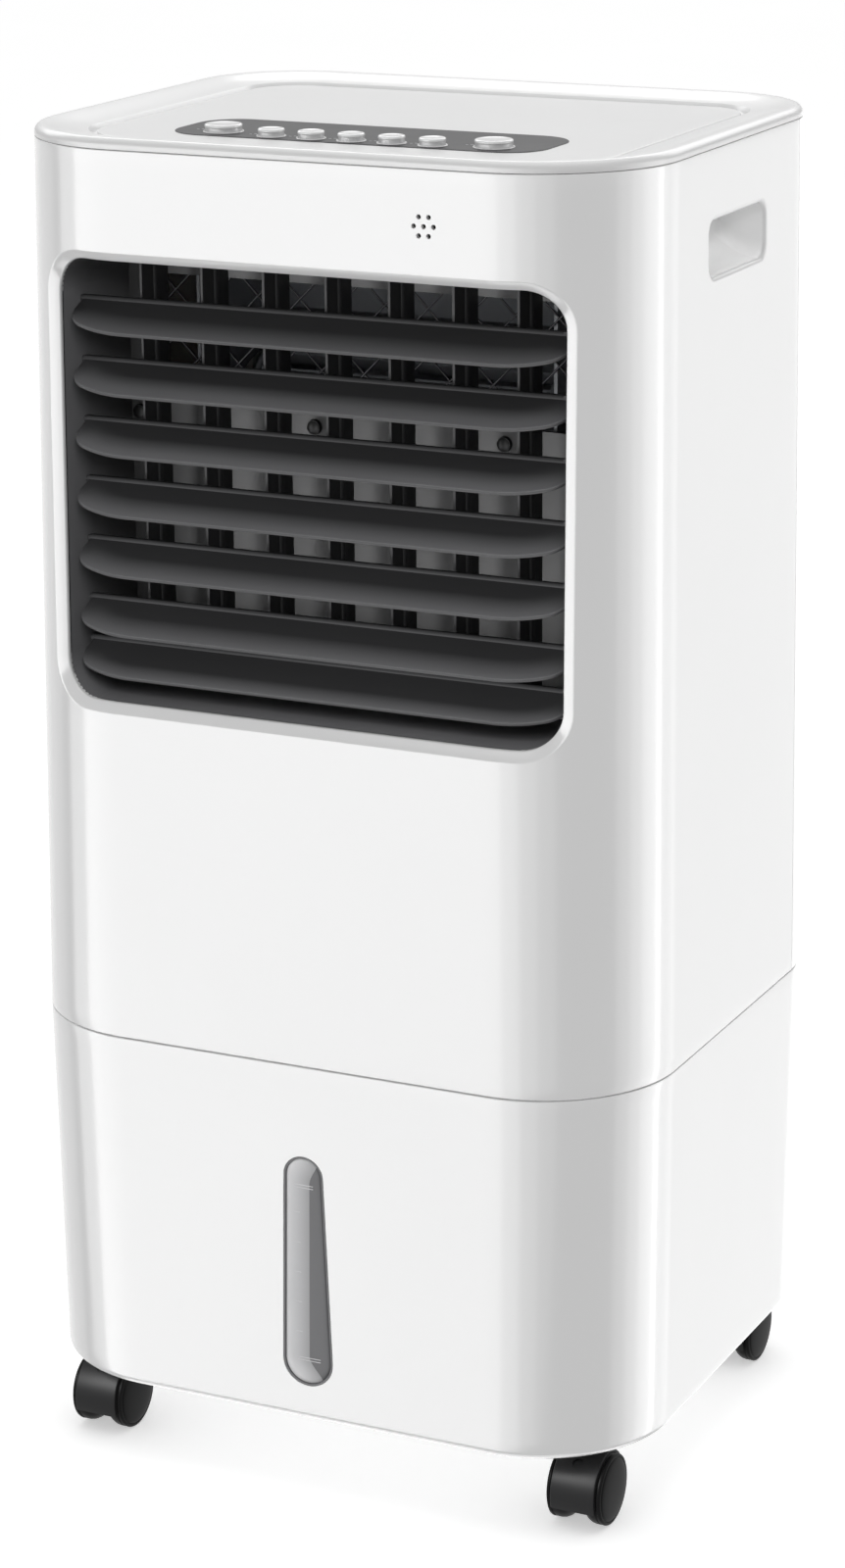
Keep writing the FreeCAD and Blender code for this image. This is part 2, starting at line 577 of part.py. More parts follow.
def make_wire_guard():
    """Diamond mesh of welded wires in the blower outlet."""
    y = CHAMBER_Y + 3.4
    x0, x1 = -BLOWER_HALF - 28, BLOWER_HALF + 28
    z0, z1 = WINDOW_Z[0] - 4, WINDOW_Z[1] + 4
    frame = box(x0 - 4, x1 + 4, y - 0.8, y + 0.8, z0 - 4, z1 + 4)
    frame = frame.cut(box(x0, x1, y - 2, y + 2, z0, z1))
    height = z1 - z0
    wires = []
    step = 27.0
    count = int((x1 - x0 + height) / step) + 1
    for k in range(count):
        for lean, layer in ((1, -0.4), (-1, 0.4)):
            start = x0 - height + k * step if lean > 0 else x0 + k * step
            base = (start, y + layer, z0)
            wires.append(cyl(0.6, base, (lean, 0, 1), height * math.sqrt(2)))
    limits = box(x0 - 1, x1 + 1, y - 3, y + 3, z0 - 1, z1 + 1)
    wires = [wire.common(limits) for wire in wires]
    wires = [wire for wire in wires if wire.Volume > 5]
    return frame.multiFuse(wires).removeSplitter()


# ---- blower -------------------------------------------------------------------------------
def scroll_profile(grow):
    """Scroll outline in the Y-Z plane with its outlet facing the front."""
    r = WHEEL_OUTER_R + 12 + grow
    y, z = BLOWER_Y, BLOWER_Z
    front = CHAMBER_Y + 5.0
    top, bottom = WINDOW_Z[1] + grow, WINDOW_Z[0] - grow
    round_part = Part.Face(Part.Wire(Part.makeCircle(r, V(0, y, z), V(1, 0, 0))))
    throat = Part.makePolygon([V(0, front, bottom), V(0, front, top), V(0, y, top),
                               V(0, y + 40, z + 20), V(0, y, bottom), V(0, front, bottom)])
    duct = Part.Face(throat)
    return round_part.fuse(duct).removeSplitter()


def scroll_block(grow, half):
    faces = scroll_profile(grow).Faces
    block = Part.makeCompound([face.extrude(V(2 * half, 0, 0)) for face in faces])
    block.translate(V(-half, 0, 0))
    return block


def make_blower_housing():
    shell = scroll_block(2, BLOWER_HALF + 2).cut(scroll_block(0, BLOWER_HALF))
    z0, z1 = WINDOW_Z
    shell = shell.cut(box(-BLOWER_HALF, BLOWER_HALF, CHAMBER_Y, CHAMBER_Y + 8, z0, z1))
    for side in (-1, 1):
        eye = cyl(EYE_R, (side * (BLOWER_HALF - 1), BLOWER_Y, BLOWER_Z), (side, 0, 0), 10)
        shell = shell.cut(eye)
    legs = []
    for x in (-BLOWER_HALF + 12, BLOWER_HALF - 24):
        foot = box(x, x + 12, BLOWER_Y - 50, BLOWER_Y + 50, SHELF_Z + SHELF_T, BLOWER_Z - 60)
        foot = foot.cut(cyl(WHEEL_OUTER_R + 13, (x - 1, BLOWER_Y, BLOWER_Z), (1, 0, 0), 20))
        legs.append(foot)
    return join(shell, *legs)


def make_blower_wheel():
    """Drum wheel: hub disc, two rims and forward-curved blades."""
    half = 96.0
    rim = cyl(WHEEL_OUTER_R, (-half, BLOWER_Y, BLOWER_Z), (1, 0, 0), 3)
    rim = rim.cut(cyl(EYE_R, (-half - 1, BLOWER_Y, BLOWER_Z), (1, 0, 0), 6))
    other = rim.mirror(V(0, 0, 0), V(1, 0, 0))
    disc = cyl(WHEEL_OUTER_R, (-1.5, BLOWER_Y, BLOWER_Z), (1, 0, 0), 3)
    hub = cyl(11, (-14, BLOWER_Y, BLOWER_Z), (1, 0, 0), 28)
    pieces = [rim, other, disc, hub]
    for k in range(BLADE_COUNT):
        blade = box(-half + 1, half - 1, 49, WHEEL_OUTER_R - 0.6, -0.7, 0.7)
        blade.rotate(V(0, 55, 0), V(1, 0, 0), 25)
        blade.rotate(V(0, 0, 0), V(1, 0, 0), k * 360.0 / BLADE_COUNT)
        blade.translate(V(0, BLOWER_Y, BLOWER_Z))
        pieces.append(blade)
    wheel = pieces[0].multiFuse(pieces[1:])
    shaft = cyl(4, (-20, BLOWER_Y, BLOWER_Z), (1, 0, 0), 50)
    wheel = wheel.fuse(shaft)
    return wheel.removeSplitter()


def make_fan_motor():
    can = cyl(40, (32, BLOWER_Y, BLOWER_Z), (1, 0, 0), 56)
    neck = cyl(14, (BLOWER_HALF + 8, BLOWER_Y, BLOWER_Z), (-1, 0, 0), 36)
    bar = box(BLOWER_HALF + 2.2, BLOWER_HALF + 8, BLOWER_Y - 9, BLOWER_Y + 9, BLOWER_Z - 60, BLOWER_Z + 60)
    pocket = cyl(4 + FIT, (28, BLOWER_Y, BLOWER_Z), (1, 0, 0), 6)
    return join(can, neck, bar).cut(pocket)


# ---- cooling pad and water system ---------------------------------------------------------
def make_shelf():
    plate = Part.Face(plan_wire(SEAM_Z, 8)).extrude(V(0, 0, SHELF_T))
    plate.translate(V(0, 0, SHELF_Z - SEAM_Z))
    drains = [box(x - 14, x + 14, 116, 132, 280, 300) for x in (-60, 0, 60)]
    drains.append(cyl(5.5, (HOSE_X, PUMP_Y, 280), (0, 0, 1), 20))
    drains.append(cyl(4.5, (PUMP_X, PUMP_Y, 280), (0, 0, 1), 20))
    drains.append(box(-14, 14, 154, 170, 280, 300))
    return plate.cut(Part.makeCompound(drains))


def make_pad_frame():
    x0, x1, y0, y1, z0, z1 = PAD
    frame = box(x0 - 4, x1 + 4, y0 - 1, y1 + 1, z0 - 15, z1 + 4)
    frame = frame.cut(box(x0, x1, y0 - 5, y1 + 5, z0, z1))
    frame = frame.cut(box(x0 + 20, x1 - 20, y0 + 6, y1 - 6, z0 - 30, z0 + 1))
    return frame.cut(box(x0 + 10, x1 - 10, y0 + 6, y1 - 6, z1 - 1, z1 + 9))


def make_cooling_pad():
    """Corrugated cellulose pad: a block pierced front to back by rows of cells."""
    x0, x1, y0, y1, z0, z1 = PAD
    block = box(x0 + 0.2, x1 - 0.2, y0 + 0.2, y1 - 0.2, z0 + 0.2, z1 - 0.2)
    cells = []
    rows, columns = 16, 11
    for row in range(rows):
        z = z0 + (row + 0.5) * (z1 - z0) / rows
        for column in range(columns):
            x = x0 + (column + 0.5) * (x1 - x0) / columns
            cells.append(box(x - 9, x + 9, y0 - 1, y1 + 1, z - 8.5, z + 8.5))
    return block.cut(Part.makeCompound(cells))


def make_water_tray():
    x0, x1, y0, y1, z0, z1 = PAD
    tray = box(x0 - 4, x1 + 4, y0 - 1, y1 + 1, TRAY_Z - 3.8, TRAY_Z + 18)
    tray = tray.cut(box(x0 - 1.5, x1 + 1.5, y0 + 1.5, y1 - 1.5, TRAY_Z - 1.5, TRAY_Z + 30))
    drips = [cyl(1.5, (x0 + 15 + 25 * k, (y0 + y1) / 2, TRAY_Z - 6), (0, 0, 1), 9) for k in range(11)]
    tray = tray.cut(Part.makeCompound(drips))
    return tray.cut(cyl(HOSE_R + 0.1, (x0 - 10, PUMP_Y, TRAY_Z + 8), (1, 0, 0), 12))


def make_pump():
    body = cyl(22, (PUMP_X, PUMP_Y, 74), (0, 0, 1), 62)
    cap = cyl(16, (PUMP_X, PUMP_Y, 135), (0, 0, 1), 10)
    rod = cyl(4, (PUMP_X, PUMP_Y, 144), (0, 0, 1), SHELF_Z + 6 - 144)
    collar = cyl(9, (PUMP_X, PUMP_Y, SHELF_Z - 6), (0, 0, 1), 5.8)
    spout = cyl(5, (PUMP_X - 14, PUMP_Y, 135), (0, 0, 1), 26)
    slots = []
    for shift in (-14, -7, 0, 7, 14):
        slots.append(box(PUMP_X - 30, PUMP_X + 30, PUMP_Y + shift - 1.2, PUMP_Y + shift + 1.2, 73, 84))
    return join(body, cap, rod, collar, spout).cut(Part.makeCompound(slots))


def make_pump_hose():
    """Runs up from the pump, across under the shelf, up beside the pad and into the tray."""
    bend = 16.0
    start_x = PUMP_X - 14
    end_z = TRAY_Z + 8
    points = [V(start_x, PUMP_Y, 161), V(start_x, PUMP_Y, HOSE_Z), V(HOSE_X, PUMP_Y, HOSE_Z),
              V(HOSE_X, PUMP_Y, end_z), V(PAD[0] - 2.5, PUMP_Y, end_z)]
    edges = []
    last = points[0]
    for k in range(1, len(points) - 1):
        back = (points[k - 1] - points[k]).normalize()
        ahead = (points[k + 1] - points[k]).normalize()
        a = points[k] + back * bend
        b = points[k] + ahead * bend
        centre = points[k] + back * bend + ahead * bend
        middle = centre + (points[k] - centre).normalize() * bend
        edges.append(Part.LineSegment(last, a).toShape())
        edges.append(Part.Arc(a, middle, b).toShape())
        last = b
    edges.append(Part.LineSegment(last, points[-1]).toShape())
    path = Part.Wire(edges)
    section = Part.Wire(Part.makeCircle(HOSE_R, points[0], V(0, 0, 1)))
    return path.makePipeShell([section], True, False)


def make_water_tank():
    z0, z1 = TANK_Z
    y0, y1 = TANK_Y
    body = rounded_box(-TANK_X, TANK_X, y0, y1, z0, z1, 9, 2)
    body = body.common(rounded_box(-TANK_X, TANK_X, y0 - 1, y1 + 1, z0, z1 + 20, 4, 1))
    cavity = rounded_box(-TANK_X + TANK_WALL, TANK_X - TANK_WALL, y0 + TANK_WALL, y1 - TANK_WALL,
                         z0 + TANK_WALL, z1 + 5, 6.5, 2)
    panel = rounded_box(-TANK_X, TANK_X, y1 - 4, y1 + 6, z0, TANK_PANEL_TOP, 4, 1)
    tank = body.fuse(panel).cut(cavity)
    half, low, high = GRIP
    backing = box(-half - 4, half + 4, y1 - 22, y1 - 2, low - 4, high + 4)
    lip = box(-half - 2, half + 2, y1 + 1, y1 + 10, high - 12, high + 4)
    hollow = box(-half, half, y1 - 19, y1 + 8, low, high).cut(lip)
    tank = tank.fuse(backing).cut(hollow)
    return tank.common(drafted_back()).removeSplitter()


def drafted_back():
    """Block whose rear face is flat and follows the slope of the housing's back."""
    points = [(-200, BASE_Z), (rear_y(BASE_Z), BASE_Z), (rear_y(SEAM_Z), SEAM_Z), (-200, SEAM_Z)]
    wire = Part.makePolygon([V(-TANK_X - 5, y, z) for y, z in points + points[:1]])
    return Part.Face(wire).extrude(V(2 * TANK_X + 10, 0, 0))


def make_tank_latch():
    """Turn-button over the tank: stored turned clear, a quarter turn down locks the tank."""
    y = rear_y(LATCH_Z) - LATCH_POCKET + 0.2
    pivot = cyl(3.0 - FIT, (0, y - 7, LATCH_Z), (0, 1, 0), 7.5)
    head = cyl(7.0, (0, y - WALL - 0.5, LATCH_Z), (0, -1, 0), 1.8)
    arm = rounded_box(-6, 30, y, y + 1.8, LATCH_Z - 6, LATCH_Z + 6, 5.5, 1)
    return join(pivot, head, arm)


def make_filter_frame():
    """Pull-off rear grille: rim, upright and level bars, fine mesh carried by the bars."""
    x, z = FILTER_X - 0.6, (FILTER_Z[0] + 0.6, FILTER_Z[1] - 0.6)
    y0 = 152.5
    block = rounded_box(-x, x, y0, 175, z[0], z[1], 5.4, 1).common(casing_block(SEAM_Z, COVER_Z, 0.6))
    window = rounded_box(-x + 9, x - 9, y0 - 5, 180, z[0] + 9, z[1] - 9, 4, 1)
    frame = block.cut(window)
    bars = []
    pitch = 11.5
    for k in range(int((z[1] - z[0] - 18) / pitch) + 1):
        bar_z = z[0] + 12 + k * pitch
        bars.append(box(-x + 8, x - 8, y0 + 3.5, y0 + 8.0, bar_z, bar_z + 2.2))
    for k in range(-3, 4):
        bars.append(box(k * 29.0 - 1, k * 29.0 + 1, y0 + 1.5, y0 + 6.0, z[0] + 8, z[1] - 8))
    return frame.multiFuse(bars).removeSplitter()


def make_cord_gland():
    y = rear_y(GLAND_Z)
    bush = cyl(5.0, (GLAND_X, y - 4.5, GLAND_Z), (0, 1, 0), 4.2)
    flange = cyl(7.5, (GLAND_X, y - WALL - 2.2, GLAND_Z), (0, 1, 0), 2.0)
    return join(bush, flange).cut(cyl(3.2, (GLAND_X, y - 10, GLAND_Z), (0, 1, 0), 20))


# ---- casters ------------------------------------------------------------------------------
def make_caster_sockets():
    sockets = []
    for name in CASTERS:
        x, y = caster_swivel(name)
        tube = cyl(SOCKET_R, (x, y, BASE_Z), (0, 0, 1), 20)
        sockets.append(tube.cut(cyl(STEM_R + FIT, (x, y, BASE_Z - 1), (0, 0, 1), 19)))
    return Part.makeCompound(sockets)


def make_caster_hood(name):
    x, y = CASTERS[name]
    sx, sy = caster_swivel(name)
    barrel = cyl(HOOD_R, (x - HOOD_HALF, y, WHEEL_Z), (1, 0, 0), 2 * HOOD_HALF)
    barrel = barrel.cut(cyl(HOOD_R - HOOD_T, (x - HOOD_HALF - 1, y, WHEEL_Z), (1, 0, 0), 2 * HOOD_HALF + 2))
    web = cyl(HOOD_R - 0.5, (x - WEB_HALF, y, WHEEL_Z), (1, 0, 0), 2 * WEB_HALF)
    hood = barrel.fuse(web)
    hood = hood.cut(box(x - 30, x + 30, y - 40, y + 40, FLOOR_Z - 10, HOOD_CUT_Z))
    hood = hood.cut(cyl(AXLE_R + FIT, (x - 30, y, WHEEL_Z), (1, 0, 0), 60))
    boss = cyl(BOSS_R, (sx, sy, WHEEL_Z), (0, 0, 1), BASE_Z - 0.6 - WHEEL_Z)
    boss = boss.cut(cyl(HOOD_R - 1.3, (x - 40, y, WHEEL_Z), (1, 0, 0), 80))
    stem = cyl(STEM_R, (sx, sy, BASE_Z - 2), (0, 0, 1), 18)
    return join(hood, boss, stem)


def make_caster_wheels(name):
    """Twin wheels on one axle: tread under the hood, domed disc outside it."""
    x, y = CASTERS[name]
    axle_half = TREAD_X[1] + 0.5
    pieces = [cyl(AXLE_R, (x - axle_half, y, WHEEL_Z), (1, 0, 0), 2 * axle_half)]
    for side in (-1, 1):
        tread = cyl(WHEEL_R - 0.1, (x + side * TREAD_X[0], y, WHEEL_Z), (side, 0, 0), TREAD_X[1] - TREAD_X[0])
        disc = cyl(WHEEL_R, (x + side * DISC_X[0], y, WHEEL_Z), (side, 0, 0), DISC_X[1] - DISC_X[0])
        cap = cyl(WHEEL_R - 2.2, (x + side * (DISC_X[1] - 0.5), y, WHEEL_Z), (side, 0, 0), CAP_X - DISC_X[1] + 0.5)
        cap = fillet_where(cap, 1.4, lambda b: b.XLength < 0.01 and abs(b.XMin - x) > CAP_X - 0.1)
        pieces += [tread, disc, cap]
    return join(*pieces)


# ---- build everything ---------------------------------------------------------------------
os.makedirs("parts", exist_ok=True)

save("front_housing", make_front_housing())
save("rear_cover", make_rear_cover())
save("lower_housing", make_lower_housing())
save("top_cover", make_top_cover())
save("control_panel", make_control_panel())
save("button_rings", Part.makeCompound([make_button_ring(*row) for row in buttons()]))
for number, row in enumerate(buttons(), start=1):
    save("button_%d" % number, make_button(*row))
save("control_board", make_control_board())
save("buzzer", make_buzzer())
save("grille_frame", make_grille_frame())
for number, height in enumerate(louver_edges(), start=1):
    save("louver_%d" % number, make_louver(height))
save("louver_link", make_louver_link())
for number in range(VANE_COUNT):
    save("vane_%d" % (number + 1), make_vane(number))
save("vane_link", make_vane_link())
save("swing_motor", make_swing_motor())
save("swing_crank", make_swing_crank())
save("outlet_plate", make_outlet_plate())
save("wire_guard", make_wire_guard())
save("blower_housing", make_blower_housing())
save("blower_wheel", make_blower_wheel())
save("fan_motor", make_fan_motor())
save("divider_shelf", make_shelf())
save("pad_frame", make_pad_frame())
save("cooling_pad", make_cooling_pad())
save("water_tray", make_water_tray())
save("pump", make_pump())
save("pump_hose", make_pump_hose())
save("water_tank", make_water_tank())
save("tank_latch", make_tank_latch())
save("level_window", make_level_window())
save("filter_frame", make_filter_frame())
save("rear_screws", make_rear_screws())
save("cord_gland", make_cord_gland())
save("caster_sockets", make_caster_sockets())
for name in CASTERS:
    save("caster_hood_%s" % name, make_caster_hood(name))
    save("caster_wheels_%s" % name, make_caster_wheels(name))
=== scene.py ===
import bmesh
import bpy
import json
from math import asin, copysign, cos, pi, radians, sin, sqrt, tan
from mathutils import Matrix, Vector

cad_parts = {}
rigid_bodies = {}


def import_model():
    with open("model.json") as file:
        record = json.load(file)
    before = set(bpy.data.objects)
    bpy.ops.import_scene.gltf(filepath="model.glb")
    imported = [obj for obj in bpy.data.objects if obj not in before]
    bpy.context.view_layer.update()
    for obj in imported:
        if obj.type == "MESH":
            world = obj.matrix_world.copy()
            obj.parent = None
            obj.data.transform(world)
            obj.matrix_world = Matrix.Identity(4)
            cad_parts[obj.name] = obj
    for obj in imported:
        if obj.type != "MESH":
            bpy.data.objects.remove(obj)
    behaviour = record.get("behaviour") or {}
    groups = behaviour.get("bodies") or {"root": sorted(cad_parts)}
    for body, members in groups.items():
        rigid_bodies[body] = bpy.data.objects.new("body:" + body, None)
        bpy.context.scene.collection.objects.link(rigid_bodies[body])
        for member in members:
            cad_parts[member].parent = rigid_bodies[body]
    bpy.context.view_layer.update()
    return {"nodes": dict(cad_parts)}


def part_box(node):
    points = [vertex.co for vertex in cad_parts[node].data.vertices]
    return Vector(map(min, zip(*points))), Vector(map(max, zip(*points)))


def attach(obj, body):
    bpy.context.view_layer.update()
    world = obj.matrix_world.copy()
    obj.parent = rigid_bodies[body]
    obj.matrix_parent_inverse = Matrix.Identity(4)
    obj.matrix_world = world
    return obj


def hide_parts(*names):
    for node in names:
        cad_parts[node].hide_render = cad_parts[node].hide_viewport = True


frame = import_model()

# The cooler's visible model, studio and camera. Metres, +Z up, front towards -Y, floor at z = 0.

MM = 0.001
SCENE = bpy.context.scene
NODES = frame["nodes"]


# ---- sizes taken from the frame
def low(node):
    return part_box(node)[0]


def high(node):
    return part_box(node)[1]


BASE_Z = low("lower_housing").z
SEAM_GAP = 0.8 * MM
SEAM_Z = low("front_housing").z - SEAM_GAP
COVER_Z = high("front_housing").z
COVER_GAP = 0.75 * MM
TOP_Z = high("top_cover").z
DECK_Z = high("control_panel").z - 0.1 * MM

# The casing's half sizes at its foot, its seam and its top, its corner radii and its wall.
SEAM_HALF = (high("lower_housing").x, -low("lower_housing").y)
TOP_HALF = (high("top_cover").x, -low("top_cover").y)
BASE_HALF = (SEAM_HALF[0] - 2.75 * MM, SEAM_HALF[1] - 3.0 * MM)
FRONT_R = 82.0 * MM
REAR_R = 65.0 * MM
WALL = 3.0 * MM

# Where the front shell ends, its gap to the rear cover, and how far out the wall cutters reach.
SPLIT_Y = 105.0 * MM
SPLIT_GAP = 0.5 * MM
CUT_REACH = 0.2

# The air outlet: opposite corners (x, z), corner radius, width of its bevel, y of its middle,
# the louvers' tilt in degrees and the studs on its plate.
OUTLET_LOW = (-156.0 * MM, 478.5 * MM)
OUTLET_HIGH = (156.0 * MM, 733.5 * MM)
OUTLET_R = 22.0 * MM
BEVEL = 7.0 * MM
OUTLET_Y = -0.15
LOUVER_TILT = 23.0
STUD_X = (-150.5 * MM, -36.0 * MM, 84.0 * MM)
STUD_Z = 628.5 * MM

# The seven buzzer holes: the middle one, their distance from it and their radius.
BUZZER_X, BUZZER_Z = 80.0 * MM, 765.5 * MM
BUZZER_PITCH = 5.9 * MM
BUZZER_R = 1.4 * MM

# The water gauge: heights of its ends, sides at the bottom and the top, and its dividing line.
LEVEL_Z = (74.0 * MM, 220.0 * MM)
LEVEL_LOW_X = (-15.6 * MM, 17.2 * MM)
LEVEL_HIGH_X = (-12.5 * MM, 13.3 * MM)
LEVEL_LEAN = radians(1.25)
LEVEL_WEB_X = 4.4 * MM
LINE_HALF = 0.22 * MM
LINE_PITCH = 1.7 * MM
FULL_Z, FULL_X, FULL_HALF = 202.0 * MM, 0.5 * MM, 6.0 * MM
EMPTY_Z, EMPTY_X, EMPTY_HALF = 92.0 * MM, 1.5 * MM, 7.5 * MM
TICK_Z, TICK_PITCH, TICK_COUNT = 108.5 * MM, 19.0 * MM, 5
TICK_X, TICK_HALF = (-6.5 * MM, -2.5 * MM), 0.2 * MM

# The finger recess in each side wall: its extent, corner radius, lip, depth, the rise of its floor,
# and the point (x, z) that its lamp aims at.
HANDLE_Y = (-37.0 * MM, 50.0 * MM)
HANDLE_Z = (724.5 * MM, 756.5 * MM)
HANDLE_R = 8.5 * MM
HANDLE_LIP = 2.2 * MM
HANDLE_DEPTH = 29.0 * MM
HANDLE_RISE = 11.0 * MM
HANDLE_AIM = (190.0 * MM, 740.0 * MM)

# The panel's raised face, the hole round a button, and a turned piece's last ring, which its cap closes.
PANEL_RISE = 0.36 * MM
COLLAR_GAP = 1.1 * MM
TIP = 0.0005 * MM

# A caster: hood width, thickness and ends in degrees, its web, trail, stem and dimple.
HOOD_HALF = 13.8 * MM
HOOD_T = 1.6 * MM
HOOD_ENDS = (-20.0, 200.0)
WEB_HALF = 3.0 * MM
CASTER_TRAIL = 10.0 * MM
STEM_R = 9.0 * MM
SPIGOT_R = 4.0 * MM
SPIGOT_HOLE_R = 7.0 * MM
DIMPLE_R = 3.4 * MM


# ---- camera
def direction(azimuth, rise):
    """Unit vector from the object, at degrees round from the front and degrees above the floor."""
    azimuth, rise = radians(azimuth), radians(rise)
    return Vector((sin(azimuth) * cos(rise), -cos(azimuth) * cos(rise), sin(rise)))


def make_camera():
    """Seen from the right of the front and from above, at the measured angles."""
    roll = radians(-0.426)
    distance = 2.46485
    target = Vector((-0.00038, 0.0, 0.399726))
    back = direction(25.42, 16.761)
    right = (-back).cross(Vector((0, 0, 1))).normalized()
    up = right.cross(-back)
    turned_right = right * cos(roll) + up * sin(roll)
    turned_up = -right * sin(roll) + up * cos(roll)
    data = bpy.data.cameras.new("camera")
    data.sensor_fit = "VERTICAL"
    data.sensor_height = 36.0
    data.lens = 93.87
    data.clip_end = 50
    camera = bpy.data.objects.new("camera", data)
    SCENE.collection.objects.link(camera)
    axes = Matrix((turned_right, turned_up, back)).transposed().to_4x4()
    camera.matrix_world = Matrix.Translation(target + back * distance) @ axes
    SCENE.camera = camera


make_camera()


# ---- materials
def new_material(name):
    material = bpy.data.materials.new(name)
    material.use_nodes = True
    tree = material.node_tree
    shader = tree.nodes["Principled BSDF"]
    coords = tree.nodes.new("ShaderNodeTexCoord")
    return material, tree, shader, coords.outputs["Object"]


def add_noise(tree, vector, scale, detail=3.0, rough=0.5):
    noise = tree.nodes.new("ShaderNodeTexNoise")
    noise.inputs["Scale"].default_value = scale
    noise.inputs["Detail"].default_value = detail
    noise.inputs["Roughness"].default_value = rough
    tree.links.new(vector, noise.inputs["Vector"])
    return noise.outputs["Fac"]


def add_range(tree, value, low_in, high_in, low_out, high_out, smooth=False):
    node = tree.nodes.new("ShaderNodeMapRange")
    node.interpolation_type = "SMOOTHSTEP" if smooth else "LINEAR"
    for socket, number in (("From Min", low_in), ("From Max", high_in),
                           ("To Min", low_out), ("To Max", high_out)):
        node.inputs[socket].default_value = number
    tree.links.new(value, node.inputs["Value"])
    return node.outputs["Result"]


def add_sum(tree, value_a, value_b):
    node = tree.nodes.new("ShaderNodeMath")
    node.operation = "ADD"
    tree.links.new(value_a, node.inputs[0])
    tree.links.new(value_b, node.inputs[1])
    return node.outputs["Value"]


def add_mix(tree, factor, colour_a, colour_b):
    node = tree.nodes.new("ShaderNodeMix")
    node.data_type = "RGBA"
    tree.links.new(factor, node.inputs["Factor"])
    for socket, colour in ((node.inputs[6], colour_a), (node.inputs[7], colour_b)):
        if isinstance(colour, bpy.types.NodeSocket):
            tree.links.new(colour, socket)
        else:
            socket.default_value = (*colour, 1.0)
    return node.outputs[2]


def link_surface(tree, shader, tint, rough):
    tree.links.new(tint, shader.inputs["Base Color"])
    tree.links.new(rough, shader.inputs["Roughness"])


def add_bump(tree, shader, height, strength, distance):
    bump = tree.nodes.new("ShaderNodeBump")
    bump.inputs["Strength"].default_value = strength
    bump.inputs["Distance"].default_value = distance
    tree.links.new(height, bump.inputs["Height"])
    tree.links.new(bump.outputs["Normal"], shader.inputs["Normal"])


def moulded(name, colour, roughness, grain=900.0, bump=0.06, spread=0.03, coat=0.0, specular=0.5):
    """Injection-moulded plastic: faint mottling, clouded gloss and a fine skin texture."""
    material, tree, shader, place = new_material(name)
    broad = add_noise(tree, place, 9.0, 3.0)
    fine = add_noise(tree, place, grain, 2.0)
    darker = tuple(c * (1 - spread) for c in colour)
    lighter = tuple(min(1.0, c * (1 + spread)) for c in colour)
    tint = add_mix(tree, add_range(tree, broad, 0.3, 0.7, 0, 1), darker, lighter)
    cloud = add_noise(tree, place, 38.0, 4.0)
    rough = add_range(tree, cloud, 0.0, 1.0, roughness * 0.88, roughness * 1.12)
    link_surface(tree, shader, tint, rough)
    shader.inputs["Coat Weight"].default_value = coat
    shader.inputs["Coat Roughness"].default_value = 0.12
    shader.inputs["Specular IOR Level"].default_value = specular
    add_bump(tree, shader, fine, bump, 0.0002)
    return material


def metal(name, colour, roughness):
    """Drawn or turned metal with fine directional marks."""
    material, tree, shader, place = new_material(name)
    mapping = tree.nodes.new("ShaderNodeMapping")
    mapping.inputs["Scale"].default_value = (60.0, 900.0, 60.0)
    tree.links.new(place, mapping.inputs["Vector"])
    streaks = add_noise(tree, mapping.outputs["Vector"], 1.0, 4.0, 0.6)
    tint = add_mix(tree, streaks, tuple(c * 0.82 for c in colour), colour)
    shader.inputs["Metallic"].default_value = 1.0
    link_surface(tree, shader, tint, add_range(tree, streaks, 0.2, 0.8, roughness * 0.8, roughness * 1.3))
    add_bump(tree, shader, streaks, 0.15, 0.0001)
    return material


def milky(name, colour, roughness, alpha):
    """Frosted plastic that lets some light through."""
    material, tree, shader, place = new_material(name)
    cloud = add_noise(tree, place, 24.0, 4.0)
    tint = add_mix(tree, cloud, tuple(c * 0.95 for c in colour), colour)
    link_surface(tree, shader, tint, add_range(tree, cloud, 0.3, 0.7, roughness * 0.8, roughness * 1.2))
    shader.inputs["Alpha"].default_value = alpha
    add_bump(tree, shader, add_noise(tree, place, 500.0, 2.0), 0.05, 0.0002)
    return material


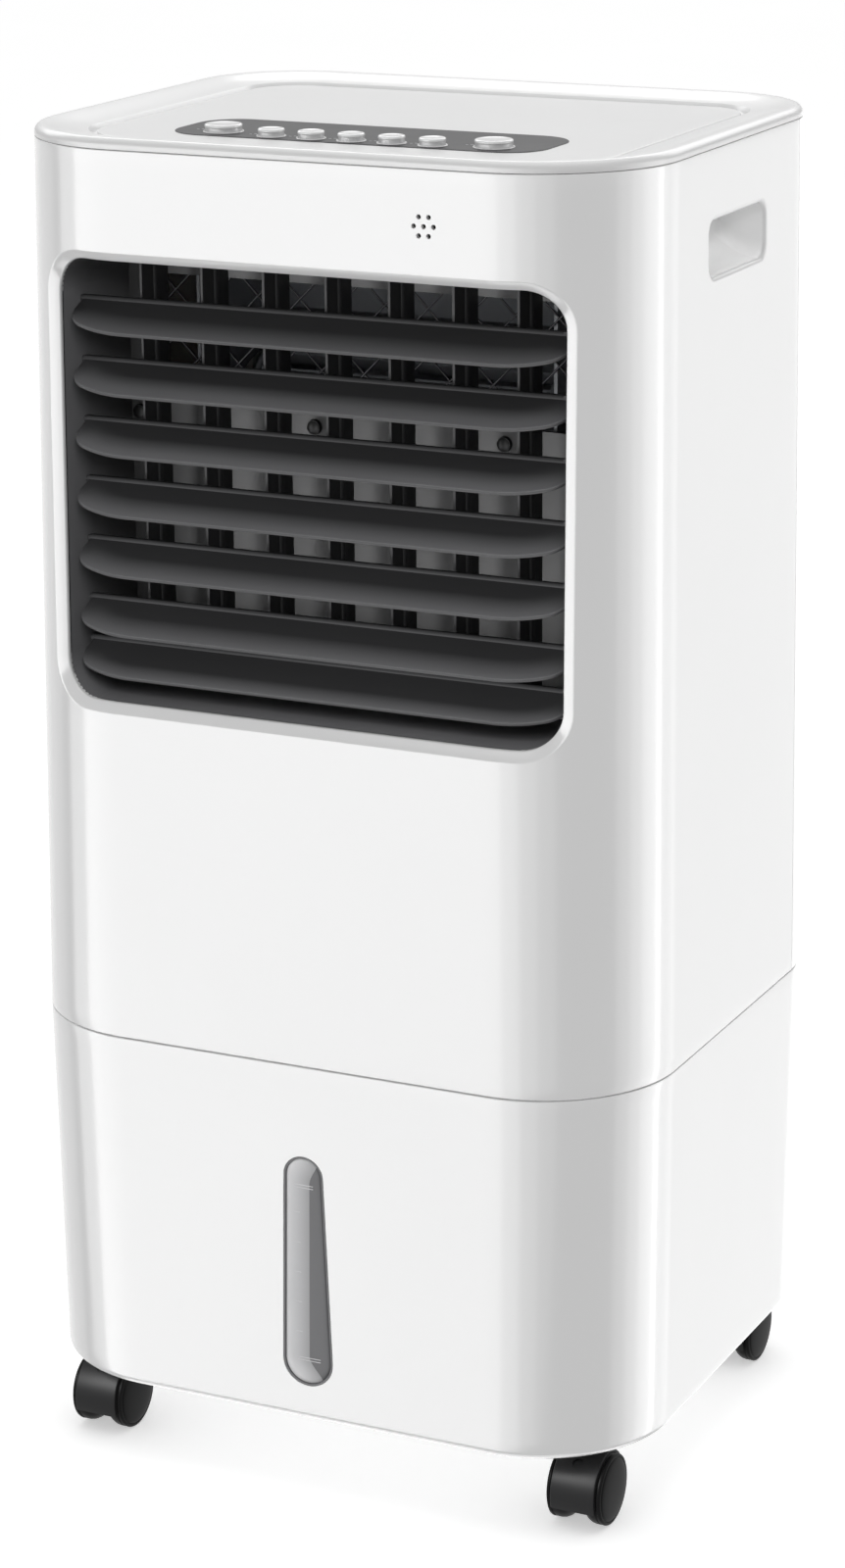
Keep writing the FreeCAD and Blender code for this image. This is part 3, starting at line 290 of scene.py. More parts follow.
def window_material():
    """Smoke-grey gauge: a lighter channel on the left, with painted shade darkening it towards the dark
    web, that rounds off over the web at both ends.
    """
    material, tree, shader, place = new_material("gauge_smoke_painted_shade")
    lean = tree.nodes.new("ShaderNodeMapping")
    lean.inputs["Rotation"].default_value = (0.0, -LEVEL_LEAN, 0.0)
    tree.links.new(place, lean.inputs["Vector"])
    split = tree.nodes.new("ShaderNodeSeparateXYZ")
    tree.links.new(lean.outputs["Vector"], split.inputs["Vector"])
    edge = LEVEL_WEB_X - LEVEL_Z[1] * sin(LEVEL_LEAN)
    height = split.outputs["Z"]
    bottom, top = LEVEL_Z
    upper = add_range(tree, height, top - 17.0 * MM, top - 1.0 * MM, 0.0, -5.5 * MM, smooth=True)
    lower = add_range(tree, height, bottom + 3.0 * MM, bottom + 19.0 * MM, -9.0 * MM, 0.0, smooth=True)
    beside = add_sum(tree, split.outputs["X"], add_sum(tree, upper, lower))
    # Painted shade: the channel goes from light grey at its left to mid grey at the web.
    painted_shade_ramp = add_range(tree, beside, edge - 15.0 * MM, edge, 0.0, 1.0)
    web = add_range(tree, beside, edge, edge + 0.3 * MM, 0.0, 1.0)
    cloud = add_noise(tree, place, 60.0, 3.0)
    left = add_mix(tree, painted_shade_ramp, (0.84, 0.84, 0.85), (0.40, 0.40, 0.41))
    both = add_mix(tree, web, left, (0.115, 0.115, 0.12))
    tint = add_mix(tree, add_range(tree, cloud, 0.3, 0.7, 0.0, 0.06), both, (0.24, 0.24, 0.25))
    link_surface(tree, shader, tint, add_range(tree, cloud, 0.3, 0.7, 0.30, 0.36))
    shader.inputs["Specular IOR Level"].default_value = 0.22
    add_bump(tree, shader, add_noise(tree, place, 350.0, 2.0), 0.04, 0.0002)
    return material


def cellulose():
    """Brown corrugated paper with flutes and fibre."""
    material, tree, shader, place = new_material("cellulose")
    wave = tree.nodes.new("ShaderNodeTexWave")
    wave.bands_direction = "Z"
    wave.inputs["Scale"].default_value = 90.0
    wave.inputs["Distortion"].default_value = 2.5
    tree.links.new(place, wave.inputs["Vector"])
    fibre = add_noise(tree, place, 420.0, 5.0, 0.7)
    tint = add_mix(tree, fibre, (0.20, 0.125, 0.06), (0.46, 0.33, 0.19))
    flute = add_range(tree, wave.outputs["Fac"], 0.0, 1.0, 0.0, 0.35)
    tint = add_mix(tree, flute, tint, (0.12, 0.075, 0.04))
    link_surface(tree, shader, tint, add_range(tree, fibre, 0.2, 0.8, 0.75, 0.95))
    add_bump(tree, shader, wave.outputs["Fac"], 0.5, 0.0006)
    return material


WHITE = moulded("white_gloss", (0.86, 0.86, 0.86), 0.24, grain=700.0, bump=0.02, spread=0.006, coat=0.55)
DECK = moulded("white_satin", (0.745, 0.745, 0.745), 0.34, grain=1100.0, bump=0.05, spread=0.008, coat=0.3)
PANEL = moulded("panel_grey", (0.034, 0.034, 0.036), 0.40, grain=1300.0, bump=0.05, spread=0.08,
                specular=0.12)
SILVER = moulded("button_silver", (0.86, 0.86, 0.86), 0.20, grain=1500.0, bump=0.03, spread=0.02, coat=0.6)
RING = moulded("ring_pearl", (0.60, 0.60, 0.605), 0.23, grain=1500.0, bump=0.03, coat=0.4)
CHARCOAL = moulded("charcoal", (0.060, 0.060, 0.062), 0.42, grain=1400.0, bump=0.10, spread=0.08)
BLADE = moulded("louver_charcoal", (0.030, 0.030, 0.031), 0.36, grain=1400.0, spread=0.06, specular=0.4)
VANE = moulded("vane_charcoal", (0.045, 0.045, 0.047), 0.42, grain=1200.0, bump=0.10, spread=0.10,
               specular=0.2)
PLATE = moulded("plate_grey", (0.07, 0.07, 0.072), 0.42, grain=1200.0, bump=0.08, spread=0.08)
FAN = moulded("fan_grey", (0.30, 0.31, 0.33), 0.45, grain=800.0, bump=0.12, spread=0.06)
FILTER = moulded("filter_white", (0.80, 0.80, 0.80), 0.36, bump=0.08, spread=0.012)
BLACK = moulded("black_gloss", (0.010, 0.010, 0.0105), 0.42, bump=0.03, spread=0.10, specular=0.35)
DISC = moulded("black_disc", (0.006, 0.006, 0.0062), 0.36, bump=0.03, spread=0.10, specular=0.11)
TREAD = moulded("black_tread", (0.014, 0.014, 0.0145), 0.46, grain=700.0, bump=0.14, spread=0.10,
                specular=0.3)
BOARD = moulded("board_green", (0.02, 0.13, 0.05), 0.35, grain=500.0, bump=0.10, spread=0.20, coat=0.5)
SOFT = moulded("soft_hose", (0.62, 0.66, 0.65), 0.30, grain=300.0, bump=0.05, spread=0.04)
MARK = moulded("mark_grey", (0.50, 0.50, 0.51), 0.40, bump=0.04, spread=0.04)
LINE = moulded("line_pale", (0.66, 0.66, 0.67), 0.40, bump=0.04, spread=0.04)
NET = moulded("net_grey", (0.30, 0.31, 0.32), 0.60, grain=1500.0, bump=0.10, spread=0.10)
WIRE = metal("guard_wire", (0.045, 0.045, 0.046), 0.42)
STEEL = metal("zinc_steel", (0.55, 0.56, 0.57), 0.38)
SCREW = metal("screw_steel", (0.70, 0.70, 0.71), 0.28)
# Dark grey painted shade for the wall of the gauge's recess.
RECESS_SHADE = moulded("gauge_recess_shade", (0.13, 0.13, 0.135), 0.36, bump=0.04, spread=0.05, specular=0.25)
TANK = milky("tank_milky", (0.78, 0.80, 0.82), 0.36, 0.88)
GAUGE = window_material()
PAPER = cellulose()


# ---- mesh helpers
def new_object(name, verts, faces):
    """Mesh object with its faces turned outwards."""
    mesh = bpy.data.meshes.new(name)
    mesh.from_pydata([tuple(v) for v in verts], [], faces)
    mesh.validate()
    builder = bmesh.new()
    builder.from_mesh(mesh)
    bmesh.ops.recalc_face_normals(builder, faces=builder.faces)
    builder.to_mesh(mesh)
    builder.free()
    piece = bpy.data.objects.new(name, mesh)
    SCENE.collection.objects.link(piece)
    return piece


def smooth(mesh, sharp):
    """Smooth shading except at edges sharper than an angle in degrees."""
    mesh.polygons.foreach_set("use_smooth", [True] * len(mesh.polygons))
    mesh.set_sharp_from_angle(angle=radians(sharp))


def make_piece(name, verts, faces, material, body, slot, sharp=35.0, replaces=None):
    """Visible piece that rides on a body and takes one material; the slot argument is not used."""
    piece = new_object(name, verts, faces)
    piece.data.materials.append(material)
    smooth(piece.data, sharp)
    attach(piece, body)
    if replaces:
        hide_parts(replaces)
    return piece


def stitch(rings, wrap=False, caps=False):
    """Vertices and quads that join equal rings of points; wrap joins the last ring to the first."""
    count = len(rings[0])
    verts = [point for ring in rings for point in ring]
    faces = []
    pairs = len(rings) if wrap else len(rings) - 1
    for k in range(pairs):
        a, b = k * count, ((k + 1) % len(rings)) * count
        for j in range(count):
            n = (j + 1) % count
            faces.append((a + j, a + n, b + n, b + j))
    if caps:
        faces.append(tuple(range(count - 1, -1, -1)))
        start = (len(rings) - 1) * count
        faces.append(tuple(range(start, start + count)))
    return verts, faces


def lathe(profile, centre, axis, segments=64):
    """Rings of a turned shape: profile is (radius, height) along the axis letter."""
    rings = []
    for radius, height in profile:
        ring = []
        for a in turns_of(segments):
            u, v = radius * cos(a), radius * sin(a)
            offset = {"X": (height, u, v), "Y": (u, height, v), "Z": (u, v, height)}[axis]
            ring.append(Vector(centre) + Vector(offset))
        rings.append(ring)
    return rings


def cut(piece, cutters):
    """Cuts the cutters out of a piece for good and removes them."""
    for cutter in cutters:
        modifier = piece.modifiers.new("cut", "BOOLEAN")
        modifier.operation = "DIFFERENCE"
        modifier.solver = "EXACT"
        modifier.object = cutter
    graph = bpy.context.evaluated_depsgraph_get()
    mesh = bpy.data.meshes.new_from_object(piece.evaluated_get(graph))
    piece.modifiers.clear()
    old = piece.data
    material = old.materials[0]
    piece.data = mesh
    mesh.materials.clear()
    mesh.materials.append(material)
    bpy.data.meshes.remove(old)
    for cutter in cutters:
        bpy.data.objects.remove(cutter)
    smooth(mesh, 35.0)


def cutter_from(rings):
    return new_object("cutter", *stitch(rings, caps=True))


def quarter(steps):
    """Pairs (1 - sine, 1 - cosine) over a quarter turn, for the rounded corner of a section."""
    turns = [radians(90 * k / steps) for k in range(steps + 1)]
    return [(1 - sin(a), 1 - cos(a)) for a in turns]


def turns_of(count):
    """Angles of a number of equal steps round a full circle."""
    return [2 * pi * k / count for k in range(count)]


def add_block(verts, faces, near, far):
    """Adds a six-sided bar between two loops of four points."""
    sides = ((3, 2, 1, 0), (4, 5, 6, 7), (0, 1, 5, 4), (1, 2, 6, 5), (2, 3, 7, 6), (3, 0, 4, 7))
    faces += [tuple(len(verts) + i for i in side) for side in sides]
    verts += [Vector(point) for point in near + far]


def rectangle(x0, x1, z0, z1):
    return [(x0, z0), (x1, z0), (x1, z1), (x0, z1)]


def rounded_loop(x0, x1, z0, z1, radius, steps=12, along=(1, 1)):
    """Points (a, b) of a rounded rectangle, anticlockwise from the lower right corner."""
    arcs = []
    corners = ((x1 - radius, z0 + radius, -90), (x1 - radius, z1 - radius, 0),
               (x0 + radius, z1 - radius, 90), (x0 + radius, z0 + radius, 180))
    for cx, cz, start in corners:
        turns = [radians(start + 90 * k / steps) for k in range(steps + 1)]
        arcs.append([(cx + radius * cos(a), cz + radius * sin(a)) for a in turns])
    points = []
    for k, arc in enumerate(arcs):
        points += arc
        (a, b), (c, d) = arc[-1], arcs[(k + 1) % 4][0]
        pieces = along[1] if k % 2 == 0 else along[0]
        points += [(a + (c - a) * j / pieces, b + (d - b) * j / pieces) for j in range(1, pieces)]
    return points


# ---- casing outline
def half_size(z):
    """Half width and half depth of the casing at a height."""
    if z < SEAM_Z:
        t = (z - BASE_Z) / (SEAM_Z - BASE_Z)
        a, b = BASE_HALF, SEAM_HALF
    else:
        t = (z - SEAM_Z) / (COVER_Z - SEAM_Z)
        a, b = SEAM_HALF, TOP_HALF
    t = min(max(t, 0.0), 1.0)
    return a[0] + (b[0] - a[0]) * t, a[1] + (b[1] - a[1]) * t


# Side of the casing in x and y, radius and first direction in degrees of each corner.
CORNERS = {"front_right": (1, -1, FRONT_R, -90.0), "rear_right": (1, 1, REAR_R, 0.0),
           "rear_left": (-1, 1, REAR_R, 90.0), "front_left": (-1, -1, FRONT_R, 180.0)}
CORNER_STEPS = 40
FLANK_STEPS = 40
SIDE_STEPS = 16


def corner_point(corner, step, z, inset):
    """Point on a corner's arc, set in from the outside."""
    sx, sy, radius, start = CORNERS[corner]
    x, y = half_size(z)
    a = radians(start + 90.0 * step / CORNER_STEPS)
    reach = radius - inset
    return Vector((sx * (x - radius) + reach * cos(a), sy * (y - radius) + reach * sin(a), z))


def whole_outline():
    """Stations all round the casing, each a step of a corner or a share of a side."""
    names = ["front_right", "rear_right", "rear_left", "front_left"]
    stations = []
    for k, name in enumerate(names):
        stations += [("corner", name, step) for step in range(CORNER_STEPS + 1)]
        follower = names[(k + 1) % 4]
        stations += [("side", name, follower, j / SIDE_STEPS) for j in range(1, SIDE_STEPS)]
    return stations


def side_x(y, z, inset):
    """Half width of the casing at a depth y, on the straight side or round its rear corner."""
    hx, hy = half_size(z)
    beyond = y - (hy - REAR_R)
    if beyond <= 0:
        return hx - inset
    return hx - REAR_R + sqrt((REAR_R - inset) ** 2 - beyond ** 2)


def station_point(station, z, inset):
    """Point of the outline at a station and a height, moved inwards by an inset."""
    kind = station[0]
    if kind == "corner":
        return corner_point(station[1], station[2], z, inset)
    if kind == "side":
        a = corner_point(station[1], CORNER_STEPS, z, inset)
        b = corner_point(station[2], 0, z, inset)
        return a.lerp(b, station[3])
    side, split, share = station[1:]
    hx, hy = half_size(z)
    if kind == "flank":
        y = split + (-(hy - FRONT_R) - split) * share
        return Vector((side * side_x(y, z, inset), y, z))
    reach = REAR_R - inset
    first = asin((split - (hy - REAR_R)) / reach)
    a = first + (pi / 2 - first) * share
    return Vector((side * (hx - REAR_R + reach * cos(a)), hy - REAR_R + reach * sin(a), z))


def front_outline(split):
    """Open outline of the front housing: right side, front, left side."""
    stations = [("flank", 1, split, j / FLANK_STEPS) for j in range(FLANK_STEPS)]
    stations += [("corner", "front_right", step) for step in range(CORNER_STEPS, -1, -1)]
    stations += [("side", "front_left", "front_right", 1 - j / SIDE_STEPS) for j in range(1, SIDE_STEPS)]
    stations += [("corner", "front_left", step) for step in range(CORNER_STEPS, -1, -1)]
    stations += [("flank", -1, split, 1 - j / FLANK_STEPS) for j in range(1, FLANK_STEPS + 1)]
    return stations


def rear_outline(split):
    """Open outline of the rear cover: right corner, back, left corner."""
    stations = [("arc", 1, split, j / CORNER_STEPS) for j in range(CORNER_STEPS + 1)]
    stations += [("side", "rear_right", "rear_left", j / SIDE_STEPS) for j in range(1, SIDE_STEPS)]
    stations += [("arc", -1, split, 1 - j / CORNER_STEPS) for j in range(CORNER_STEPS + 1)]
    return stations


def wall_profile(rows):
    """Section of the upper walls: outside going up, rounded lips, inside going down."""
    z0, z1, lip = SEAM_Z + SEAM_GAP, COVER_Z + 0.4 * MM, 0.5 * MM
    outside = [(lip * s, z0 + lip * c) for s, c in quarter(3)]
    outside += [(0.0, z0 + lip + (z1 - z0 - 2 * lip) * k / rows) for k in range(1, rows)]
    outside += [(lip * c, z1 - lip * s) for s, c in quarter(3)]
    return outside + [(WALL, z1), (WALL, (z0 + z1) / 2), (WALL, z0)]


def swept(stations, profile):
    """Rings of a section carried along the outline."""
    return [[station_point(station, z, inset) for inset, z in profile] for station in stations]


def swept_round(profile, rings):
    """Shell from rings all round the casing, closed by flat faces between its first and last points."""
    verts, faces = stitch(rings, wrap=True)
    count = len(profile)
    faces = [face for face in faces if not face_is_closing(face, count)]
    first = [k * count for k in range(len(rings))]
    last = [k * count + count - 1 for k in range(len(rings))]
    return verts, faces + [tuple(reversed(first)), tuple(last)]


def face_is_closing(face, count):
    """True for the quads that would join the section's last point to its first."""
    places = sorted(index % count for index in face)
    return places[0] == 0 and places[-1] == count - 1


def surface_y(x, z, depth=0.0):
    """Depth coordinate of the casing's front skin at a place, moved inwards by depth."""
    hx, hy = half_size(z)
    beyond = abs(x) - (hx - FRONT_R)
    if beyond <= 0:
        return -hy + depth
    reach = FRONT_R - depth
    return -(hy - FRONT_R) - sqrt(max(reach * reach - beyond * beyond, 0.0))


# ---- casing pieces
def outlet_loop(grow):
    """The outlet's edge, or a loop outside it; its height and corners grow less than its width."""
    rise = grow * 0.8
    (x0, z0), (x1, z1) = OUTLET_LOW, OUTLET_HIGH
    return rounded_loop(x0 - grow, x1 + grow, z0 - rise, z1 + rise, OUTLET_R + rise, along=(52, 42))


def prism_y(loop, y0, y1):
    """Cutter with a loop of (x, z) as its section."""
    return cutter_from([[Vector((x, y, z)) for x, z in loop] for y in (y0, y1)])


def prism_x(side, loop, x0, x1):
    """Cutter with a loop of (y, z) as its section, on one side of the casing."""
    return cutter_from([[Vector((side * x, y, z)) for y, z in loop] for x in (x0, x1)])


def circle_loop(x, z, radius, steps=20):
    return [(x + radius * cos(a), z + radius * sin(a)) for a in turns_of(steps)]


def buzzer_places():
    return [(BUZZER_X, BUZZER_Z)] + circle_loop(BUZZER_X, BUZZER_Z, BUZZER_PITCH, 6)


def handle_loop(shrink, rise=0.0):
    (y0, y1), (z0, z1) = HANDLE_Y, HANDLE_Z
    radius = HANDLE_R - shrink * 0.5
    return rounded_loop(y0 + shrink, y1 - shrink, z0 + shrink + rise, z1 - shrink, radius, steps=8)


def handle_ring(side, depth, shrink, rise):
    """One ring of the finger recess, at a depth behind the side wall."""
    return [Vector((side * (half_size(z)[0] - depth), y, z)) for y, z in handle_loop(shrink, rise)]


def make_handle_cup(side, label):
    """Rounded lip in the side wall, in the greyer deck white as painted shade on its fillet, and the finger
    cup behind it, which rises inwards.
    """
    edge = HANDLE_LIP
    back = edge + 0.8 * MM
    lip = [handle_ring(side, edge * c + 0.02 * MM, -edge * s, 0.0) for s, c in quarter(5)]
    rings = [lip[-1]]
    lip += [handle_ring(side, back, 0.0, 0.0), handle_ring(side, back, -edge, 0.0)]
    # The lip is the same white moulding; its greyer deck white is painted shade.
    make_piece("handle_lip_painted_shade_" + label, *stitch(lip, wrap=True), DECK, "casing", "white_shell", sharp=50)
    for k in range(1, 9):
        t = k / 8
        depth = edge + (HANDLE_DEPTH - edge) * t
        rings.append(handle_ring(side, depth, 1.5 * MM * t, HANDLE_RISE * t * t))
    rings.append(handle_ring(side, HANDLE_DEPTH + 1.6 * MM, 4.5 * MM, HANDLE_RISE))
    outer = []
    for ring in reversed(rings):
        centre = sum(ring, Vector()) / len(ring)
        outer.append([centre + (p - centre) * 1.03 - Vector((side * 1.2 * MM, 0, 0)) for p in ring])
    make_piece("handle_cup_" + label, *stitch(outer + rings, caps=True), WHITE, "casing", "white_shell",
               sharp=50)


def make_front_housing():
    """Front face and both sides in one wall, with the outlet, the buzzer holes and the recesses cut."""
    piece = make_piece("front_shell", *stitch(swept(front_outline(SPLIT_Y), wall_profile(60)), caps=True),
                       WHITE, "casing", "white_shell", replaces="front_housing")
    cutters = [prism_y(outlet_loop(BEVEL), -0.25, -0.10)]
    cutters += [prism_y(circle_loop(x, z, BUZZER_R), -CUT_REACH, -0.15) for x, z in buzzer_places()]
    cutters += [prism_x(side, handle_loop(-HANDLE_LIP), 0.15, 0.25) for side in (-1, 1)]
    cut(piece, cutters)
    make_handle_cup(1, "right")
    make_handle_cup(-1, "left")


def make_outlet_bevel():
    """Sloping white frame from the casing's skin down to the outlet's inner edge."""
    section = [(BEVEL, 0.0), (BEVEL * 0.93, 0.15 * MM), (BEVEL * 0.82, 0.55 * MM), (BEVEL * 0.12, 4.6 * MM),
               (BEVEL * 0.03, 5.1 * MM), (0.0, 5.8 * MM), (0.0, 8.0 * MM), (BEVEL + 4 * MM, 8.0 * MM),
               (BEVEL + 4 * MM, 3.2 * MM), (BEVEL, 3.2 * MM)]
    rings = []
    for grow, depth in section:
        rings.append([Vector((x, surface_y(x, z, depth), z)) for x, z in outlet_loop(grow)])
    make_piece("outlet_bevel", *stitch(rings, wrap=True), WHITE, "casing", "white_shell", sharp=60)


def make_rear_cover():
    """Back wall with the filter's opening, the latch's pocket, the gland's hole and screw seats."""
    rings = swept(rear_outline(SPLIT_Y + SPLIT_GAP), wall_profile(24))
    piece = make_piece("rear_shell", *stitch(rings, caps=True), WHITE, "casing", "white_shell",
                       replaces="rear_cover")
    lo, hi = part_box("filter_frame")
    gap = 0.6 * MM
    opening = rounded_loop(lo.x - gap, hi.x + gap, lo.z - gap, hi.z + gap, 6 * MM, steps=6)
    latch_lo, latch_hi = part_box("tank_latch")
    pocket = rounded_loop(latch_lo.x - 5 * MM, latch_hi.x + 6 * MM,
                          SEAM_Z - 12 * MM, latch_hi.z + 3 * MM, 5 * MM, steps=6)
    gland_lo, gland_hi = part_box("cord_gland")
    gland_x, gland_z = (gland_lo.x + gland_hi.x) / 2, (gland_lo.z + gland_hi.z) / 2
    cutters = [prism_y(opening, 0.10, CUT_REACH), prism_y(pocket, latch_lo.y + 6.4 * MM, CUT_REACH),
               prism_y(circle_loop(gland_x, gland_z, 5 * MM), 0.12, CUT_REACH)]
    for x, z in screw_places():
        cutters.append(prism_y(circle_loop(x, z, 4 * MM), half_size(z)[1] - 1.6 * MM, CUT_REACH))
    cut(piece, cutters)


def screw_places():
    """Middles (x, z) of the six rear screws."""
    lo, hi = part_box("rear_screws")
    head = 3.6 * MM
    rows = (lo.z + head, (lo.z + hi.z) / 2, hi.z - head)
    return [(x, z) for x in (lo.x + head, hi.x - head) for z in rows]


def level_loop(inset):
    """Gauge outline: wider at the bottom, leaning sides, both ends round."""
    z0, z1 = LEVEL_Z[0] + inset, LEVEL_Z[1] - inset
    points = []
    for z, (left, right), turn in ((z0, LEVEL_LOW_X, 180), (z1, LEVEL_HIGH_X, 0)):
        radius = (right - left) / 2 - inset
        middle = (left + right) / 2
        height = z + radius if turn else z - radius
        for k in range(25):
            a = radians(turn + 180 * k / 24)
            points.append((middle + radius * cos(a), height + radius * sin(a)))
    return points


def make_lower_housing():
    """Tank surround: rounded foot, thin lip at the seam, mouth at the back, gauge slot in front."""
    foot, lip, rows = 5.0 * MM, 0.7 * MM, 30
    floor_edge, floor_top, inside, tongue_top = 30 * MM, BASE_Z + 4 * MM, WALL + 2 * MM, SEAM_Z + 5 * MM
    profile = [(floor_edge, BASE_Z)]
    profile += [(foot * s, BASE_Z + foot * c) for s, c in quarter(6)]
    profile += [(0.0, BASE_Z + foot + (SEAM_Z - lip - BASE_Z - foot) * k / rows) for k in range(1, rows)]
    profile += [(lip * c, SEAM_Z - lip * s) for s, c in quarter(3)]
    profile += [(WALL, SEAM_Z), (WALL, tongue_top), (inside, tongue_top), (inside, floor_top)]
    profile += [(floor_edge, floor_top)]
    piece = make_piece("lower_shell", *swept_round(profile, swept(whole_outline(), profile)),
                       WHITE, "casing", "white_shell", replaces="lower_housing")
    lo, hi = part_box("water_tank")
    gap = 1.5 * MM
    mouth = rounded_loop(lo.x - gap, hi.x + gap, lo.z - 0.4 * MM, hi.z + gap, 5 * MM, steps=6)
    half, bottom, top = 40 * MM, hi.z - 2 * MM, SEAM_Z + 20 * MM
    notch = rectangle(-half, half, bottom, top)
    cutters = [prism_y(level_loop(0.0), -CUT_REACH, -0.15), prism_y(mouth, 0.12, CUT_REACH),
               prism_y(notch, 0.15, CUT_REACH)]
    for name in CASTER_NAMES:
        hole = [(SPIGOT_HOLE_R, BASE_Z - 10 * MM), (SPIGOT_HOLE_R, BASE_Z + 20 * MM)]
        cutters.append(cutter_from(lathe(hole, (*swivel_of(name), 0), "Z", 24)))
    cut(piece, cutters)


CASTER_NAMES = ("front_left", "front_right", "rear_left", "rear_right")


def caster_centre(name):
    """Middle of the axle."""
    lo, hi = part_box("caster_wheels_" + name)
    return (lo + hi) / 2


def swivel_of(name):
    """Place (x, y) of a caster's upright axis, nearer the middle than the axle."""
    centre = caster_centre(name)
    return centre.x, centre.y - copysign(CASTER_TRAIL, centre.y)


def make_top_cover():
    """Rim with a rounded crest, a dished band, a groove and the raised deck."""
    base, under, tongue = COVER_Z + COVER_GAP, COVER_Z - 1.3 * MM, WALL + 1 * MM
    profile = [(45.0 * MM, under), (tongue, under), (tongue, base)]
    profile += [(0.35 * MM, base), (0.08 * MM, base + 0.2 * MM), (0.0, base + 0.6 * MM)]
    profile += [(4.6 * MM * c, TOP_Z - 4.4 * MM * s) for s, c in quarter(8)]
    band = [(8.0, 0.3), (12.0, 1.0), (17.0, 2.1), (22.0, 3.0), (27.0, 3.6), (30.5, 3.9)]
    profile += [(inset * MM, TOP_Z - drop * MM) for inset, drop in band]
    groove = [(31.9, 0.0), (32.4, -1.2), (32.9, -2.1), (33.5, -2.4), (34.9, -2.4), (35.3, -2.2),
              (35.5, -1.6), (35.7, -0.5), (36.0, -0.1), (36.5, 0.06), (37.4, 0.1)]
    profile += [(inset * MM, DECK_Z + rise * MM) for inset, rise in groove]
    profile += [(44.0 * MM, DECK_Z)]
    rings = [[station_point(station, COVER_Z, inset) + Vector((0, 0, z - COVER_Z)) for inset, z in profile]
             for station in whole_outline()]
    piece = make_piece("cover_shell", *swept_round(profile, rings),
                       DECK, "casing", "white_deck", sharp=40, replaces="top_cover")
    cut(piece, button_holes(COVER_Z - 0.02, TOP_Z + 0.02))


# ---- controls
def button_places():
    """Centre and radius of every button."""
    places = []
    for k in range(1, 8):
        lo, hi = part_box("button_%d" % k)
        places.append(((lo.x + hi.x) / 2, (lo.y + hi.y) / 2, (hi.x - lo.x) / 2))
    return places


def button_holes(z0, z1):
    """Cutters for the holes in which the button collars sit."""
    return [cutter_from(lathe([(r + COLLAR_GAP, z0), (r + COLLAR_GAP, z1)], (x, y, 0), "Z", 48))
            for x, y, r in button_places()]


def make_panel():
    """Dark inlay with a softened edge and a hole round every button ring."""
    lo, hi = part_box("control_panel")
    radius = 24.0 * MM
    rings = []
    for inset, z in ((0.0, lo.z), (0.0, hi.z + 0.12 * MM), (0.25 * MM, hi.z + 0.3 * MM),
                     (1.2 * MM, hi.z + PANEL_RISE)):
        loop = rounded_loop(lo.x + inset, hi.x - inset, lo.y + inset, hi.y - inset, radius - inset, 16)
        rings.append([Vector((x, y, z)) for x, y in loop])
    piece = make_piece("panel_inlay", *stitch(rings, caps=True), PANEL, "casing", "panel_grey", sharp=50,
                       replaces="control_panel")
    cut(piece, button_holes(lo.z - 0.01, hi.z + 0.01))


def make_buttons():
    """White caps over a grey skirt that sinks into a thin fixed collar."""
    ring_base = low("button_rings").z
    for k, (x, y, r) in enumerate(button_places(), start=1):
        body = "button_%d" % k
        top, bottom, hidden = high(body).z, DECK_Z + 3.0 * MM, DECK_Z - 10 * MM
        cap = [(TIP, top - 0.40 * MM), (r * 0.60, top - 0.34 * MM), (r - 1.6 * MM, top - 0.14 * MM),
               (r - 1.0 * MM, top), (r - 0.5 * MM, top - 0.12 * MM), (r - 0.12 * MM, top - 0.5 * MM),
               (r, top - 1.0 * MM), (r, bottom + 0.2 * MM), (r - 0.2 * MM, bottom), (r - 1.7 * MM, bottom),
               (r - 1.7 * MM, hidden), (TIP, hidden)]
        make_piece("button_cap_%d" % k, *stitch(lathe(cap, (x, y, 0), "Z"), caps=True),
                   SILVER, body, "button_silver", sharp=40, replaces=body)
        seat, inner, outer = DECK_Z - 0.6 * MM, r - 1.6 * MM, r - 0.22 * MM
        skirt = [(inner, bottom - 0.04 * MM), (r - 0.3 * MM, bottom - 0.04 * MM),
                 (outer, bottom - 0.25 * MM), (outer, seat), (inner, seat)]
        make_piece("button_skirt_%d" % k, *stitch(lathe(skirt, (x, y, 0), "Z"), wrap=True),
                   RING, body, "button_silver", sharp=40)
        inner, outer, shoulder, crest = r - 0.02 * MM, r + 0.95 * MM, DECK_Z + 0.5 * MM, DECK_Z + 0.85 * MM
        collar = [(inner, ring_base), (outer, ring_base), (outer, shoulder),
                  (r + 0.8 * MM, DECK_Z + 0.75 * MM), (r + 0.5 * MM, crest),
                  (r + 0.15 * MM, DECK_Z + 0.75 * MM), (inner, shoulder)]
        ring = make_piece("button_collar_%d" % k, *stitch(lathe(collar, (x, y, 0), "Z"), wrap=True),
                          SILVER, "casing", "ring_white", sharp=40)
        if k == 1:
            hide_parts("button_rings")


def make_panel_marks():
    """Three faint generic bars beside each button."""
    z = high("control_panel").z + PANEL_RISE
    half_x, half_y, pitch = 0.75 * MM, 0.35 * MM, 2.2 * MM
    verts, faces = [], []
    for x, y, r in button_places():
        for k in range(3):
            cx = x - r - 6.2 * MM + k * pitch
            cy = y + 1.6 * MM * (k % 2) + 1.5 * MM
            loop = rectangle(cx - half_x, cx + half_x, cy - half_y, cy + half_y)
            under, over = z - 0.05 * MM, z + 0.06 * MM
            add_block(verts, faces, *[[(*point, height) for point in loop] for height in (under, over)])
    make_piece("panel_marks", verts, faces, MARK, "casing", "ring_white", sharp=30)


